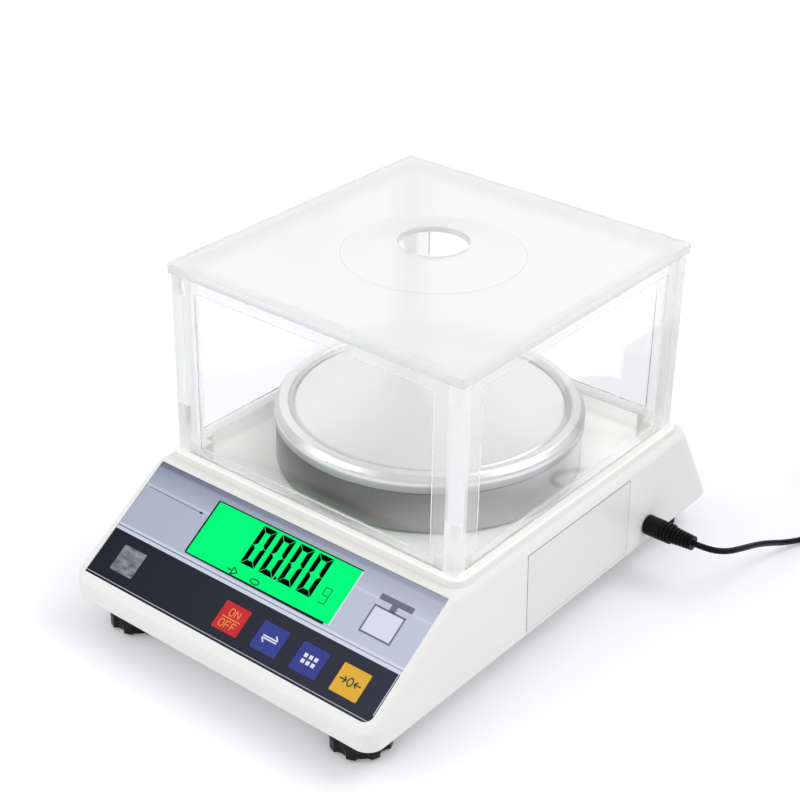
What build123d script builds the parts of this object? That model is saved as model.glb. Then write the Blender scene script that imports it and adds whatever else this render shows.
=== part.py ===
from build123d import *
from math import cos, pi, radians, sin, sqrt, tan
import os

os.makedirs("parts", exist_ok=True)

# The origin is on the table under the middle of the body: X to the right,
# Y to the back, Z up. Sizes are in millimetres and degrees.

# Play between pieces
pin_play = 0.05              # radial, round studs, screws, pins and sleeves
panel_play = 0.25            # round the bottom cover
seam = 0.1                   # between the joined edges of the windshield panels
shield_play = 0.3            # between the windshield and what locates it
key_play = 0.15              # round each key in the front film
trim_play = 0.1              # round films, labels and the display lens

# Body
body_width = 167.0
body_length = 249.2
base_height = 15.0           # bottom edge of the body above the table
shoulder_height = 59.2       # flat top of the body above the table
front_edge_height = 23.7     # where the key slope meets the front wall
slope_angle = 33.8
side_draft = 1.94
rear_lean = 28.83            # rear wall, from the vertical
corner_radius = 8.0
crest_radius = 3.5
base_edge_radius = 1.8       # rounding of the body's bottom edge
wall = 2.5

# Plinth and sunken tray round the pan
pan_y = 14.25                # centre of the pan and of the windshield
plinth_rise = 3.8
plinth_corner = 6.0
plinth_edge = 1.2
side_ledge = 3.7             # plinth outside the windshield, left and right
end_ledge = 2.9              # plinth outside the windshield, front and back
tray_depth = 7.8
tray_margin = 0.7            # tray edge outside the inner faces of the windshield
tray_corner = 6.0
tray_round = 2.5
collar_height = 3.0
collar_wall = 2.0
stem_hole_radius = 17.0

# Windshield
shield_width = body_width - 16.0
shield_depth = body_length - 91.6
shield_height = 84.3
shield_wall = 2.6
window_recess = 1.0
window_low = 4.3             # window edge above the foot of the wall
window_top = 5.8             # window edge below the top of the wall
front_border = 12.9
side_border = 13.5
corner_tab = 6.0             # width of the side panels' corner tabs and posts
low_tab_height = 23.2
top_tab_height = 9.2
locator_size = 9.8
locator_rise = 4.5           # above the plinth
locator_leg = 5.4

# Lid of the windshield
lid_overhang = 1.35
lid_edge = 4.0
lid_sheet = 2.4
lid_corner = 1.5
lid_rib_width = 1.7
lid_rib_drop = 2.0
dome_radius = 39.2
dome_rise = 5.6
dome_hole_radius = 14.6

# Weighing pan and its carrier
pan_radius = shield_width / 2 - 8.0
pan_height = 81.5            # weighing face above the table
pan_sheet = 0.8
pan_flat_radius = pan_radius - 9.6
pan_groove_radius = pan_radius - 7.2
pan_groove = 1.4
pan_bead = 1.45
pan_bead_width = 3.2
pan_shoulder = 2.9           # drop and width of the rounding outside the bead
pan_lip_height = 75.2
pan_lip_draw = 0.15          # lip drawn in from the widest point
drum_radius = pan_radius - 0.7
drum_clearance = 1.2         # drum above the tray floor
drum_wall = 2.2
drum_step = 1.4              # drum drawn in under the pan's lip
drum_hub_radius = 11.0
drum_hub_depth = 9.0
drum_rib = 1.8
pad_radius = 6.0
pad_height = 1.8
pad_circle = 0.6 * pan_radius
drum_screw_radius = 2.0
drum_screw_head_radius = 3.8
drum_screw_head = 2.6
drum_screw_sink = 3.5
drum_screw_depth = 12.0      # threaded hole in the stem
stem_radius = 7.0
carrier_width = 26.0
carrier_thickness = 3.0

# Load cell
cell_length = shield_depth - 27.6
cell_width = 30.0
cell_height = 22.0
cell_eye_radius = 8.2
cell_eye_pitch = 34.0
cell_slot = 3.0
cell_spacer = 3.0
cell_foot = 2.0              # moulded platform under the fixed end
cell_end = 34.0              # clamped length at each end
cell_bolt_pitch = 18.0
carrier_lift = 2.0           # pad between the free end and the carrier
bolt_radius = 3.0
bolt_head = 2.3
bolt_head_radius = 5.1
cell_bolt_length = 16.0
stop_radius = 2.0
stop_gap = 0.4

# Front film, with its display window and keys
film_width = body_width - 10.0
film_length = 57.6
film_thickness = 0.5
film_sink = 0.4              # film below the surface of the slope
film_top_margin = 1.0        # film edge below the crest, along the slope
film_corner = 1.0
film_right_corner = 4.0
window_width = 79.4
window_length = 25.9
window_x = -0.7
window_drop = 17.65          # window centre from the film's top edge
key_width = 13.7
key_length = 12.35
key_pitch = 21.0
key_first_x = -1.55
key_drop = 46.4
key_travel = 0.3
plunger_radius = 2.5
badge_width = 12.9
badge_length = 12.1
badge_x = 16.55 - film_width / 2
badge_drop = 45.75
badge_thickness = 0.3

# Display
lens_thickness = 1.6
lens_margin = 1.5
frame_front = 0.8
frame_wall = 1.5
glass_thickness = 2.8
glass_margin = 1.0
backlight_thickness = 2.9
board_thickness = 1.6
display_board_width = 104.0
display_board_length = 34.0

# Key switches
switch_size = 6.0
switch_height = 3.3
switch_stem_radius = 1.7
keypad_board_width = 88.0
keypad_board_length = 16.0
keypad_board_thickness = 1.2
board_post_radius = 2.8
board_screw_radius = 1.1
board_screw_head = 2.2
board_screw_length = 4.5

# Bottom cover, its screws and the feet
cover_thickness = 2.5
cover_rim = 3.0              # rim of the body round the cover
cover_corner = 5.0
cover_rib = 1.6
cover_rib_height = 3.0
screw_post_radius = 4.0
cover_screw_radius = 1.5
cover_screw_head = 2.8
cover_screw_length = 9.0
foot_x = body_width / 2 - 21.2
foot_y = body_length / 2 - 19.25
knob_radius = 12.9
knob_lobes = 8
knob_lobe_depth = 1.9
knob_height = 7.5
knob_foot_radius = 10.0
knob_foot_height = 1.4
knob_hub_radius = 6.5
knob_hub_height = 2.0
stud_radius = 3.0
stud_length = 17.0
stud_bottom = 3.0
insert_radius = 4.5
foot_boss_radius = 7.2
foot_boss_height = 4.5

# Low-voltage inlet, plug and main board
jack_y = 68.15
jack_height = 24.8
jack_length = 12.0
jack_nozzle_radius = 4.0
plug_pin_radius = 2.75
plug_bore_radius = 1.1
jack_pin_radius = 1.0
plug_pin_length = 9.5
plug_radius = 4.65
plug_grip_length = 13.5
relief_length = 10.4
relief_radius = 3.9
relief_end_radius = 3.2
relief_ribs = 6
grip_groove = 0.45
main_board_width = 34.0
main_board_length = 58.0
board_standoff = 1.0

# Rating label in the right wall
label_length = 76.7
label_height = 37.7
label_y = 13.8
label_middle_height = 36.35
label_recess = 0.35
label_thickness = 0.25

# Cord, put away as a coil, and the mains adapter on its end
cord_diameter = 2.8
coil_half_turns = 5          # in each layer, before the climb to the next
coil_layers = 4
coil_gap = 1.2
coil_layer_gap = 1.1
coil_middle_radius = 15.0
coil_start_x = 135.2
coil_start_y = 172.0
coil_tail = 14.0             # straight end of the coil, up to the adapter
adapter_length = 66.0
adapter_width = 42.0
adapter_height = 30.0
adapter_edge = 4.0
adapter_relief = 10.0
adapter_offset = 8.0         # middle of the adapter beside the end of its cord
blade_length = 17.0
blade_width = 6.3
blade_thickness = 1.5
blade_pitch = 12.7

# Places that follow from the sizes
front_y = -body_length / 2
slope = radians(slope_angle)
draft = radians(side_draft)
lean = radians(rear_lean)
toe_run = base_edge_radius / tan((pi / 2 - lean) / 2)
toe_y = body_length / 2 + toe_run - base_edge_radius
plinth_height = shoulder_height + plinth_rise
plinth_width = shield_width + 2 * side_ledge
plinth_depth = shield_depth + 2 * end_ledge
tray_floor = plinth_height - tray_depth
tray_width = shield_width - 2 * shield_wall + 2 * tray_margin
tray_length = shield_depth - 2 * shield_wall + 2 * tray_margin
cover_top = base_height + cover_thickness
shield_top = plinth_height + shield_height
crest_y = front_y + (shoulder_height - front_edge_height) / tan(slope)
slope_plane = Plane(
    origin=(
        0,
        crest_y - film_top_margin * cos(slope),
        shoulder_height - film_top_margin * sin(slope),
    ),
    x_dir=(1, 0, 0),
    z_dir=(0, -sin(slope), cos(slope)),
)
film_depth = film_sink + film_thickness
film_face_plane = slope_plane.offset(-film_sink)
film_back_plane = slope_plane.offset(-film_depth)
key_places = [(key_first_x + i * key_pitch, -key_drop) for i in range(4)]
foot_places = [(x, y) for y in (-foot_y, foot_y) for x in (-foot_x, foot_x)]


def half_width(height):
    """Half the body's width at a height above the table."""
    return body_width / 2 - (height - base_height) * tan(draft)


def body_form(inset, floor_height):
    """The wedge of the body with its walls moved inward, from a floor height up."""
    top = shoulder_height - inset
    front = front_y + inset
    slope_drop = inset / cos(slope)
    slope_foot = front_edge_height + inset * tan(slope) - slope_drop
    slope_top = front_y + (top - front_edge_height + slope_drop) / tan(slope)
    rear_foot = toe_y - (floor_height - base_height) * tan(lean) - inset / cos(lean)
    rear_top = toe_y - (top - base_height) * tan(lean) - inset / cos(lean)
    half_foot = half_width(floor_height) - inset
    half_top = half_width(top) - inset
    with BuildPart() as form:
        with BuildSketch(Plane.XZ):
            with BuildLine():
                Polyline(
                    (-half_foot, floor_height),
                    (half_foot, floor_height),
                    (half_top, top),
                    (-half_top, top),
                    close=True,
                )
            make_face()
        extrude(amount=body_length, both=True)
        with BuildSketch(Plane.YZ):
            with BuildLine():
                Polyline(
                    (front, floor_height),
                    (front, slope_foot),
                    (slope_top, top),
                    (rear_top, top),
                    (rear_foot, floor_height),
                    close=True,
                )
            make_face()
        extrude(amount=body_width, both=True, mode=Mode.INTERSECT)
        corners = form.edges().filter_by(lambda edge: abs((edge % 0.5).Z) > 0.7)
        fillet(corners, radius=corner_radius - inset)
        if inset == 0:
            fillet(form.faces().sort_by(Axis.Z)[0].edges(), radius=base_edge_radius)
            crests = form.edges().filter_by(lambda edge: edge.center().Z > slope_foot - 0.5)
            crests = crests.filter_by(lambda edge: abs((edge % 0.5).Z) < 0.6)
            fillet(crests, radius=crest_radius)
    return form.part


# Body: moulded housing
screw_x = body_width / 2 - 10.5
screw_places = [
    (side * x, y)
    for x, y in (
        (screw_x, front_y + 42.6),
        (screw_x, pan_y - 12.25),
        (foot_x - 24.3, foot_y + 0.65),
    )
    for side in (-1, 1)
]
display_posts = [
    (window_x + side * (display_board_width / 2 - 4), -window_drop + row * (display_board_length / 2 - 4))
    for row in (-1, 1)
    for side in (-1, 1)
]
keypad_x = key_first_x + 1.5 * key_pitch
keypad_posts = [
    (keypad_x + side * (keypad_board_width / 2 - 4), -key_drop + 2.0) for side in (-1, 1)
] + [(keypad_x + side * key_pitch, -key_drop + keypad_board_length / 2 - 3.5) for side in (-1, 1)]
display_board_depth = wall + frame_front + glass_thickness + backlight_thickness
keypad_board_depth = wall + seam + switch_height

with BuildPart() as cavity:
    add(body_form(wall, cover_top))
    with BuildSketch(Plane.XY.offset(tray_floor - wall)):
        with Locations((0, pan_y)):
            Rectangle(tray_width + 2 * wall, tray_length + 2 * wall)
    extrude(amount=tray_depth, mode=Mode.SUBTRACT)
    with BuildSketch(Plane.XY.offset(cover_top)):
        with Locations(*screw_places):
            Circle(screw_post_radius)
    extrude(amount=shoulder_height, mode=Mode.SUBTRACT)
    with BuildSketch(slope_plane.offset(-display_board_depth)):
        with Locations(*display_posts):
            Circle(board_post_radius)
    extrude(amount=display_board_depth, mode=Mode.SUBTRACT)
    with BuildSketch(slope_plane.offset(-keypad_board_depth)):
        with Locations(*keypad_posts):
            Circle(board_post_radius)
    extrude(amount=keypad_board_depth, mode=Mode.SUBTRACT)


def film_outline(growth):
    """The front film's outline, grown all round."""
    with BuildSketch(Plane.XY) as outline:
        with Locations((0, -film_length / 2)):
            Rectangle(film_width + 2 * growth, film_length + 2 * growth)
        right_foot = outline.vertices().sort_by(Axis.Y)[:2].sort_by(Axis.X)[-1]
        others = [corner for corner in outline.vertices() if corner != right_foot]
        fillet(right_foot, radius=film_right_corner + growth)
        fillet(others, radius=film_corner + growth)
    return outline.sketch


recess_outline = film_outline(trim_play)
wall_plane = Plane(
    origin=(half_width(label_middle_height), label_y, label_middle_height),
    x_dir=(0, 1, 0),
    z_dir=(cos(draft), 0, sin(draft)),
)

with BuildPart() as upper_housing:
    add(body_form(0, base_height))
    # Plinth round the windshield
    with BuildSketch(Plane.XY.offset(shoulder_height - wall)):
        with Locations((0, pan_y)):
            RectangleRounded(plinth_width, plinth_depth, plinth_corner)
    extrude(amount=plinth_rise + wall)
    plinth_top = upper_housing.faces().sort_by(Axis.Z)[-1]
    fillet(plinth_top.edges(), radius=plinth_edge)
    add(cavity.part, mode=Mode.SUBTRACT)
    # Sunken tray, with a collar round the stem hole against spills
    with BuildSketch(Plane.XY.offset(tray_floor)):
        with Locations((0, pan_y)):
            RectangleRounded(tray_width, tray_length, tray_corner)
    extrude(amount=2 * tray_depth, mode=Mode.SUBTRACT)
    tray_face = upper_housing.faces().filter_by(
        lambda face: abs(face.center().Z - tray_floor) < 0.01 and face.area > tray_width * 50
    )[0]
    fillet(tray_face.outer_wire().edges(), radius=tray_round)
    with BuildSketch(Plane.XY.offset(tray_floor)):
        with Locations((0, pan_y)):
            Circle(stem_hole_radius + collar_wall)
    extrude(amount=collar_height)
    with BuildSketch(Plane.XY.offset(tray_floor - 2 * wall)):
        with Locations((0, pan_y)):
            Circle(stem_hole_radius)
    extrude(amount=4 * wall, mode=Mode.SUBTRACT)
    # Opening for the bottom cover
    cover_front = front_y + cover_rim
    cover_rear = toe_y - toe_run - cover_rim
    with BuildSketch(Plane.XY.offset(base_height)):
        with Locations((0, (cover_front + cover_rear) / 2)):
            RectangleRounded(body_width - 2 * cover_rim, cover_rear - cover_front, cover_corner)
    extrude(amount=cover_thickness, mode=Mode.SUBTRACT)
    # Pilot holes in the screw posts
    with BuildSketch(Plane.XY.offset(cover_top)):
        with Locations(*screw_places):
            Circle(cover_screw_radius + pin_play)
    extrude(amount=cover_screw_length, mode=Mode.SUBTRACT)
    # Recess for the front film
    with BuildSketch(film_back_plane):
        add(recess_outline)
    extrude(amount=4 * film_depth, mode=Mode.SUBTRACT)
    # Display opening under the film
    with BuildSketch(slope_plane):
        with Locations((window_x, -window_drop)):
            Rectangle(
                window_width + 2 * lens_margin + 2 * trim_play,
                window_length + 2 * lens_margin + 2 * trim_play,
            )
    extrude(amount=-wall, mode=Mode.SUBTRACT)
    # Pockets and plunger holes under the keys
    with BuildSketch(film_back_plane.offset(-2 * key_travel)):
        with Locations(*key_places):
            Rectangle(key_width + 4 * key_play, key_length + 4 * key_play)
    extrude(amount=film_depth, mode=Mode.SUBTRACT)
    with BuildSketch(slope_plane):
        with Locations(*key_places):
            Circle(plunger_radius + key_play)
    extrude(amount=-2 * wall, mode=Mode.SUBTRACT)
    # Pilot holes in the board posts
    with BuildSketch(slope_plane.offset(-display_board_depth)):
        with Locations(*display_posts):
            Circle(board_screw_radius + pin_play)
    extrude(amount=display_board_depth - wall, mode=Mode.SUBTRACT)
    with BuildSketch(slope_plane.offset(-keypad_board_depth)):
        with Locations(*keypad_posts):
            Circle(board_screw_radius + pin_play)
    extrude(amount=keypad_board_depth - wall, mode=Mode.SUBTRACT)
    # Inlet hole and label recess in the right wall
    with BuildSketch(Plane.YZ.offset(body_width / 2 - 2 * wall)):
        with Locations((jack_y, jack_height)):
            Circle(jack_nozzle_radius + trim_play)
    extrude(amount=3 * wall, mode=Mode.SUBTRACT)
    with BuildSketch(wall_plane.offset(-label_recess)):
        Rectangle(label_length + 2 * trim_play, label_height + 2 * trim_play)
    extrude(amount=2 * label_recess, mode=Mode.SUBTRACT)
upper_housing.part.label = "upper_housing"
export_step(upper_housing.part, "parts/upper_housing.step")

# Body: bottom cover with foot bosses and load cell seat
cell_front = pan_y - cell_length / 2
cell_rear = pan_y + cell_length / 2
cell_bottom = cover_top + cell_foot + cell_spacer
cell_top = cell_bottom + cell_height
fixed_bolts = [(0, cell_rear - cell_end / 2 + side * cell_bolt_pitch / 2) for side in (-1, 1)]
free_bolts = [(0, cell_front + cell_end / 2 + side * cell_bolt_pitch / 2) for side in (-1, 1)]
fixed_seat_y = cell_rear - cell_end / 2
free_seat_y = cell_front + cell_end / 2
board_x = half_width(jack_height) - wall - main_board_width / 2 - 1.0
board_y = jack_y - 8.0
main_board_places = [
    (board_x + dx, board_y + dy)
    for dx in (-main_board_width / 2 + 4, main_board_width / 2 - 4)
    for dy in (-main_board_length / 2 + 4, main_board_length / 2 - 18)
]

with BuildPart() as bottom_cover:
    with BuildSketch(Plane.XY.offset(base_height)):
        with Locations((0, (cover_front + cover_rear) / 2)):
            RectangleRounded(
                body_width - 2 * cover_rim - 2 * panel_play,
                cover_rear - cover_front - 2 * panel_play,
                cover_corner - panel_play,
            )
    extrude(amount=cover_thickness)
    with BuildSketch(Plane.XY.offset(cover_top)):
        with Locations(*foot_places):
            Circle(foot_boss_radius)
    extrude(amount=foot_boss_height)
    with BuildSketch(Plane.XY.offset(cover_top)):
        with Locations((0, fixed_seat_y)):
            RectangleRounded(cell_width + 6, cell_end + 4, 2)
        with Locations((0, free_seat_y)):
            Circle(stop_radius + 4)
    extrude(amount=cell_foot)
    with BuildSketch(Plane.XY.offset(cover_top)):
        with Locations(*main_board_places):
            Circle(board_post_radius)
    extrude(amount=board_standoff)
    with BuildSketch(Plane.XY.offset(cover_top)):
        with Locations(*[(side * cell_width, 0) for side in (-1, 1)]):
            Rectangle(cover_rib, body_length - 60)
        with Locations(*[(0, front_y + 40 + i * 32) for i in range(3)]):
            Rectangle(2 * cell_width, cover_rib)
    extrude(amount=min(cover_rib_height, cell_foot + cell_spacer - 1))
    with BuildSketch(Plane.XY.offset(base_height)):
        with Locations(*foot_places):
            Circle(insert_radius + pin_play)
        with Locations(*fixed_bolts):
            Circle(bolt_radius + pin_play)
        with Locations((0, free_seat_y)):
            Circle(stop_radius + pin_play)
    extrude(amount=cover_thickness + foot_boss_height, mode=Mode.SUBTRACT)
    with BuildSketch(Plane.XY.offset(base_height)):
        with Locations(*fixed_bolts):
            Circle(bolt_head_radius + 2 * pin_play)
    extrude(amount=cover_thickness, mode=Mode.SUBTRACT)
    with BuildSketch(Plane.XY.offset(cover_top - board_standoff)):
        with Locations(*main_board_places):
            Circle(board_screw_radius + pin_play)
    extrude(amount=2 * board_standoff, mode=Mode.SUBTRACT)
    with Locations(Plane.XY.offset(base_height)):
        with Locations(*[Location((x, y, 0), (180, 0, 0)) for x, y in screw_places]):
            CounterSinkHole(
                cover_screw_radius + pin_play,
                cover_screw_head + 2 * pin_play,
                depth=cover_thickness,
                counter_sink_angle=90,
            )
bottom_cover.part.label = "bottom_cover"
export_step(bottom_cover.part, "parts/bottom_cover.step")


def drive_cross(plane, width):
    """Outline of a screw head's cross recess."""
    with BuildSketch(plane) as cross:
        Rectangle(width, width / 4)
        Rectangle(width / 4, width)
    return cross.sketch


# Body: screws of the bottom cover
with BuildPart() as cover_screws:
    for x, y in screw_places:
        with BuildSketch(Plane.XY.offset(base_height)):
            with Locations((x, y)):
                Circle(cover_screw_head)
        extrude(amount=cover_screw_head - cover_screw_radius, taper=45)
        with BuildSketch(Plane.XY.offset(base_height)):
            with Locations((x, y)):
                Circle(cover_screw_radius)
        extrude(amount=cover_screw_length)
        head_plane = Plane(origin=(x, y, base_height), z_dir=(0, 0, -1))
        cross = drive_cross(head_plane, 1.2 * cover_screw_head)
        extrude(cross, amount=-cover_screw_head / 3, mode=Mode.SUBTRACT)
cover_screws.part.label = "cover_screws"
export_step(cover_screws.part, "parts/cover_screws.step")

# Feet: threaded inserts, studs and lobed knobs
insert_top = cover_top + foot_boss_height
with BuildPart() as foot_inserts:
    with BuildSketch(Plane.XY.offset(base_height)):
        with Locations(*foot_places):
            Circle(insert_radius)
            Circle(stud_radius + pin_play, mode=Mode.SUBTRACT)
    extrude(amount=insert_top - base_height)
foot_inserts.part.label = "foot_inserts"
export_step(foot_inserts.part, "parts/foot_inserts.step")

foot_names = ("front_left", "front_right", "rear_left", "rear_right")
for foot_name, foot_place in zip(foot_names, foot_places):
    with BuildPart() as foot_stud:
        with BuildSketch(Plane.XY.offset(stud_bottom)):
            with Locations(foot_place):
                Circle(stud_radius)
        extrude(amount=stud_length)
        fillet_edges = foot_stud.faces().sort_by(Axis.Z)[-1].edges()
        chamfer(fillet_edges, length=0.5)
    foot_stud.part.label = "foot_stud_" + foot_name
    export_step(foot_stud.part, "parts/foot_stud_" + foot_name + ".step")

    with BuildPart() as foot_knob:
        with BuildSketch(Plane.XY.offset(knob_foot_height)):
            with Locations(foot_place):
                Circle(knob_radius)
                with PolarLocations(knob_radius + knob_lobe_depth, knob_lobes):
                    Circle(2 * knob_lobe_depth, mode=Mode.SUBTRACT)
        extrude(amount=knob_height - knob_foot_height)
        rim = foot_knob.faces().sort_by(Axis.Z)[-1].edges()
        fillet(rim, radius=0.9)
        with BuildSketch(Plane.XY):
            with Locations(foot_place):
                Circle(knob_foot_radius)
        extrude(amount=knob_foot_height)
        with BuildSketch(Plane.XY.offset(knob_height)):
            with Locations(foot_place):
                Circle(knob_hub_radius)
        extrude(amount=knob_hub_height)
        with BuildSketch(Plane.XY.offset(stud_bottom)):
            with Locations(foot_place):
                Circle(stud_radius + pin_play)
        extrude(amount=knob_height + knob_hub_height, mode=Mode.SUBTRACT)
    foot_knob.part.label = "foot_knob_" + foot_name
    export_step(foot_knob.part, "parts/foot_knob_" + foot_name + ".step")

# Front film with the display window and the key openings
with BuildPart() as front_film:
    with BuildSketch(film_back_plane):
        add(film_outline(0))
        with Locations((window_x, -window_drop)):
            Rectangle(window_width, window_length, mode=Mode.SUBTRACT)
        with Locations(*key_places):
            Rectangle(key_width + 2 * key_play, key_length + 2 * key_play, mode=Mode.SUBTRACT)
    extrude(amount=film_thickness)
front_film.part.label = "front_film"
export_step(front_film.part, "parts/front_film.step")

with BuildPart() as badge:
    with BuildSketch(film_face_plane):
        with Locations((badge_x, -badge_drop)):
            RectangleRounded(badge_width, badge_length, 0.6)
    extrude(amount=badge_thickness)
badge.part.label = "badge"
export_step(badge.part, "parts/badge.step")

# Display: clear window, frame, glass, backlight and board
lens_back_plane = film_back_plane.offset(-lens_thickness)
glass_plane = slope_plane.offset(-wall - frame_front)
backlight_plane = glass_plane.offset(-glass_thickness)
display_board_plane = backlight_plane.offset(-backlight_thickness)
glass_width = window_width + 2 * glass_margin
glass_length = window_length + 2 * glass_margin

with BuildPart() as display_window:
    with BuildSketch(lens_back_plane):
        with Locations((window_x, -window_drop)):
            Rectangle(window_width + 2 * lens_margin, window_length + 2 * lens_margin)
    extrude(amount=lens_thickness)
display_window.part.label = "display_window"
export_step(display_window.part, "parts/display_window.step")

with BuildPart() as display_frame:
    with BuildSketch(display_board_plane):
        with Locations((window_x, -window_drop)):
            Rectangle(
                glass_width + 2 * frame_wall + 2 * trim_play,
                glass_length + 2 * frame_wall + 2 * trim_play,
            )
    extrude(amount=display_board_depth - wall)
    with BuildSketch(display_board_plane):
        with Locations((window_x, -window_drop)):
            Rectangle(glass_width + 2 * trim_play, glass_length + 2 * trim_play)
    extrude(amount=display_board_depth - wall - frame_front, mode=Mode.SUBTRACT)
    with BuildSketch(display_board_plane):
        with Locations((window_x, -window_drop)):
            Rectangle(window_width, window_length)
    extrude(amount=display_board_depth, mode=Mode.SUBTRACT)
display_frame.part.label = "display_frame"
export_step(display_frame.part, "parts/display_frame.step")

with BuildPart() as display_glass:
    with BuildSketch(backlight_plane):
        with Locations((window_x, -window_drop)):
            Rectangle(glass_width, glass_length)
    extrude(amount=glass_thickness)
display_glass.part.label = "display_glass"
export_step(display_glass.part, "parts/display_glass.step")

with BuildPart() as display_backlight:
    with BuildSketch(display_board_plane):
        with Locations((window_x, -window_drop)):
            Rectangle(glass_width, glass_length)
    extrude(amount=backlight_thickness)
display_backlight.part.label = "display_backlight"
export_step(display_backlight.part, "parts/display_backlight.step")

with BuildPart() as display_board:
    with BuildSketch(display_board_plane):
        with Locations((window_x, -window_drop)):
            Rectangle(display_board_width, display_board_length)
        with Locations(*display_posts):
            Circle(board_screw_radius + pin_play, mode=Mode.SUBTRACT)
    extrude(amount=-board_thickness)
display_board.part.label = "display_board"
export_step(display_board.part, "parts/display_board.step")

# Keys in the film, with the plungers that reach their switches
keypad_board_plane = slope_plane.offset(-keypad_board_depth)
switch_top_plane = keypad_board_plane.offset(switch_height)
plunger_end = keypad_board_depth - switch_height - 2 * seam
switch_bore_depth = 3 * key_travel + switch_stem_radius / 2
for key_name, key_place in zip(("on_off", "mode", "count", "tare"), key_places):
    with BuildPart() as key:
        with BuildSketch(film_back_plane):
            with Locations(key_place):
                RectangleRounded(key_width, key_length, 0.5)
        extrude(amount=film_thickness)
        with BuildSketch(film_back_plane):
            with Locations(key_place):
                Circle(plunger_radius)
        extrude(amount=-(plunger_end - key_travel - film_depth))
        with BuildSketch(film_back_plane):
            with Locations(key_place):
                Circle(switch_stem_radius)
        stem_end = keypad_board_depth - switch_height + switch_bore_depth - 2 * key_travel
        extrude(amount=-(stem_end - film_depth))
    key.part.label = "key_" + key_name
    export_step(key.part, "parts/key_" + key_name + ".step")

with BuildPart() as key_switches:
    with BuildSketch(keypad_board_plane):
        with Locations(*key_places):
            RectangleRounded(switch_size, switch_size, 0.5)
    extrude(amount=switch_height)
    with BuildSketch(switch_top_plane):
        with Locations(*key_places):
            Circle(switch_stem_radius + pin_play)
    extrude(amount=-switch_bore_depth, mode=Mode.SUBTRACT)
key_switches.part.label = "key_switches"
export_step(key_switches.part, "parts/key_switches.step")

with BuildPart() as keypad_board:
    with BuildSketch(keypad_board_plane):
        with Locations((keypad_x, -key_drop + 1.0)):
            Rectangle(keypad_board_width, keypad_board_length)
        with Locations(*keypad_posts):
            Circle(board_screw_radius + pin_play, mode=Mode.SUBTRACT)
    extrude(amount=-keypad_board_thickness)
keypad_board.part.label = "keypad_board"
export_step(keypad_board.part, "parts/keypad_board.step")

# Body: board screws
with BuildPart() as board_screws:
    for seat_plane, posts in (
        (display_board_plane.offset(-board_thickness), display_posts),
        (keypad_board_plane.offset(-keypad_board_thickness), keypad_posts),
    ):
        with BuildSketch(seat_plane):
            with Locations(*posts):
                Circle(board_screw_head)
        extrude(amount=-board_screw_head / 2)
        with BuildSketch(seat_plane):
            with Locations(*posts):
                Circle(board_screw_radius)
        extrude(amount=board_screw_length)
board_screws.part.label = "board_screws"
export_step(board_screws.part, "parts/board_screws.step")

# Load cell: an aluminium bar, thinned to four flexing webs by its eyes
with BuildPart() as load_cell:
    with BuildSketch(Plane.XY.offset(cell_bottom)):
        with Locations((0, pan_y)):
            Rectangle(cell_width, cell_length)
    extrude(amount=cell_height)
    chamfer(load_cell.edges().filter_by(Axis.Z), length=0.8)
    with BuildSketch(Plane.YZ):
        eye_height = cell_bottom + cell_height / 2
        with Locations(*[(pan_y + side * cell_eye_pitch / 2, eye_height) for side in (-1, 1)]):
            Circle(cell_eye_radius)
        with Locations((pan_y, cell_bottom + cell_height / 2)):
            Rectangle(cell_eye_pitch, cell_slot)
    extrude(amount=cell_width, both=True, mode=Mode.SUBTRACT)
    with BuildSketch(Plane.XY.offset(cell_bottom)):
        with Locations(*fixed_bolts, *free_bolts):
            Circle(bolt_radius + pin_play)
    extrude(amount=cell_height, mode=Mode.SUBTRACT)
load_cell.part.label = "load_cell"
export_step(load_cell.part, "parts/load_cell.step")

with BuildPart() as cell_spacer_plate:
    with BuildSketch(Plane.XY.offset(cell_bottom - cell_spacer)):
        with Locations((0, fixed_seat_y)):
            Rectangle(cell_width, cell_end)
        with Locations(*fixed_bolts):
            Circle(bolt_radius + pin_play, mode=Mode.SUBTRACT)
    extrude(amount=cell_spacer)
cell_spacer_plate.part.label = "cell_spacer"
export_step(cell_spacer_plate.part, "parts/cell_spacer.step")

# Pan carrier: an arm from the free end of the cell, with a stem under the pan
carrier_bottom = cell_top + carrier_lift
carrier_top = carrier_bottom + carrier_thickness
pan_underside = pan_height - pan_sheet
drum_top = pan_underside - pad_height
hub_bottom = drum_top - drum_hub_depth
with BuildPart() as pan_carrier:
    with BuildSketch(Plane.XY.offset(cell_top)):
        with Locations((0, free_seat_y)):
            RectangleRounded(carrier_width, cell_end - 2, 2)
    extrude(amount=carrier_lift)
    with BuildSketch(Plane.XY.offset(carrier_bottom)):
        with Locations((0, (cell_front + pan_y + carrier_width) / 2)):
            SlotOverall(pan_y + carrier_width - cell_front, carrier_width, rotation=90)
    extrude(amount=carrier_thickness)
    with BuildSketch(Plane.XY.offset(carrier_top)):
        with Locations((0, pan_y)):
            Circle(stem_radius)
    extrude(amount=hub_bottom - carrier_top)
    with BuildSketch(Plane.XY.offset(cell_top)):
        with Locations(*free_bolts):
            Circle(bolt_radius + pin_play)
    extrude(amount=carrier_lift + carrier_thickness, mode=Mode.SUBTRACT)
    with BuildSketch(Plane.XY.offset(hub_bottom)):
        with Locations((0, pan_y)):
            Circle(drum_screw_radius + pin_play)
    extrude(amount=-drum_screw_depth, mode=Mode.SUBTRACT)
pan_carrier.part.label = "pan_carrier"
export_step(pan_carrier.part, "parts/pan_carrier.step")

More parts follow.
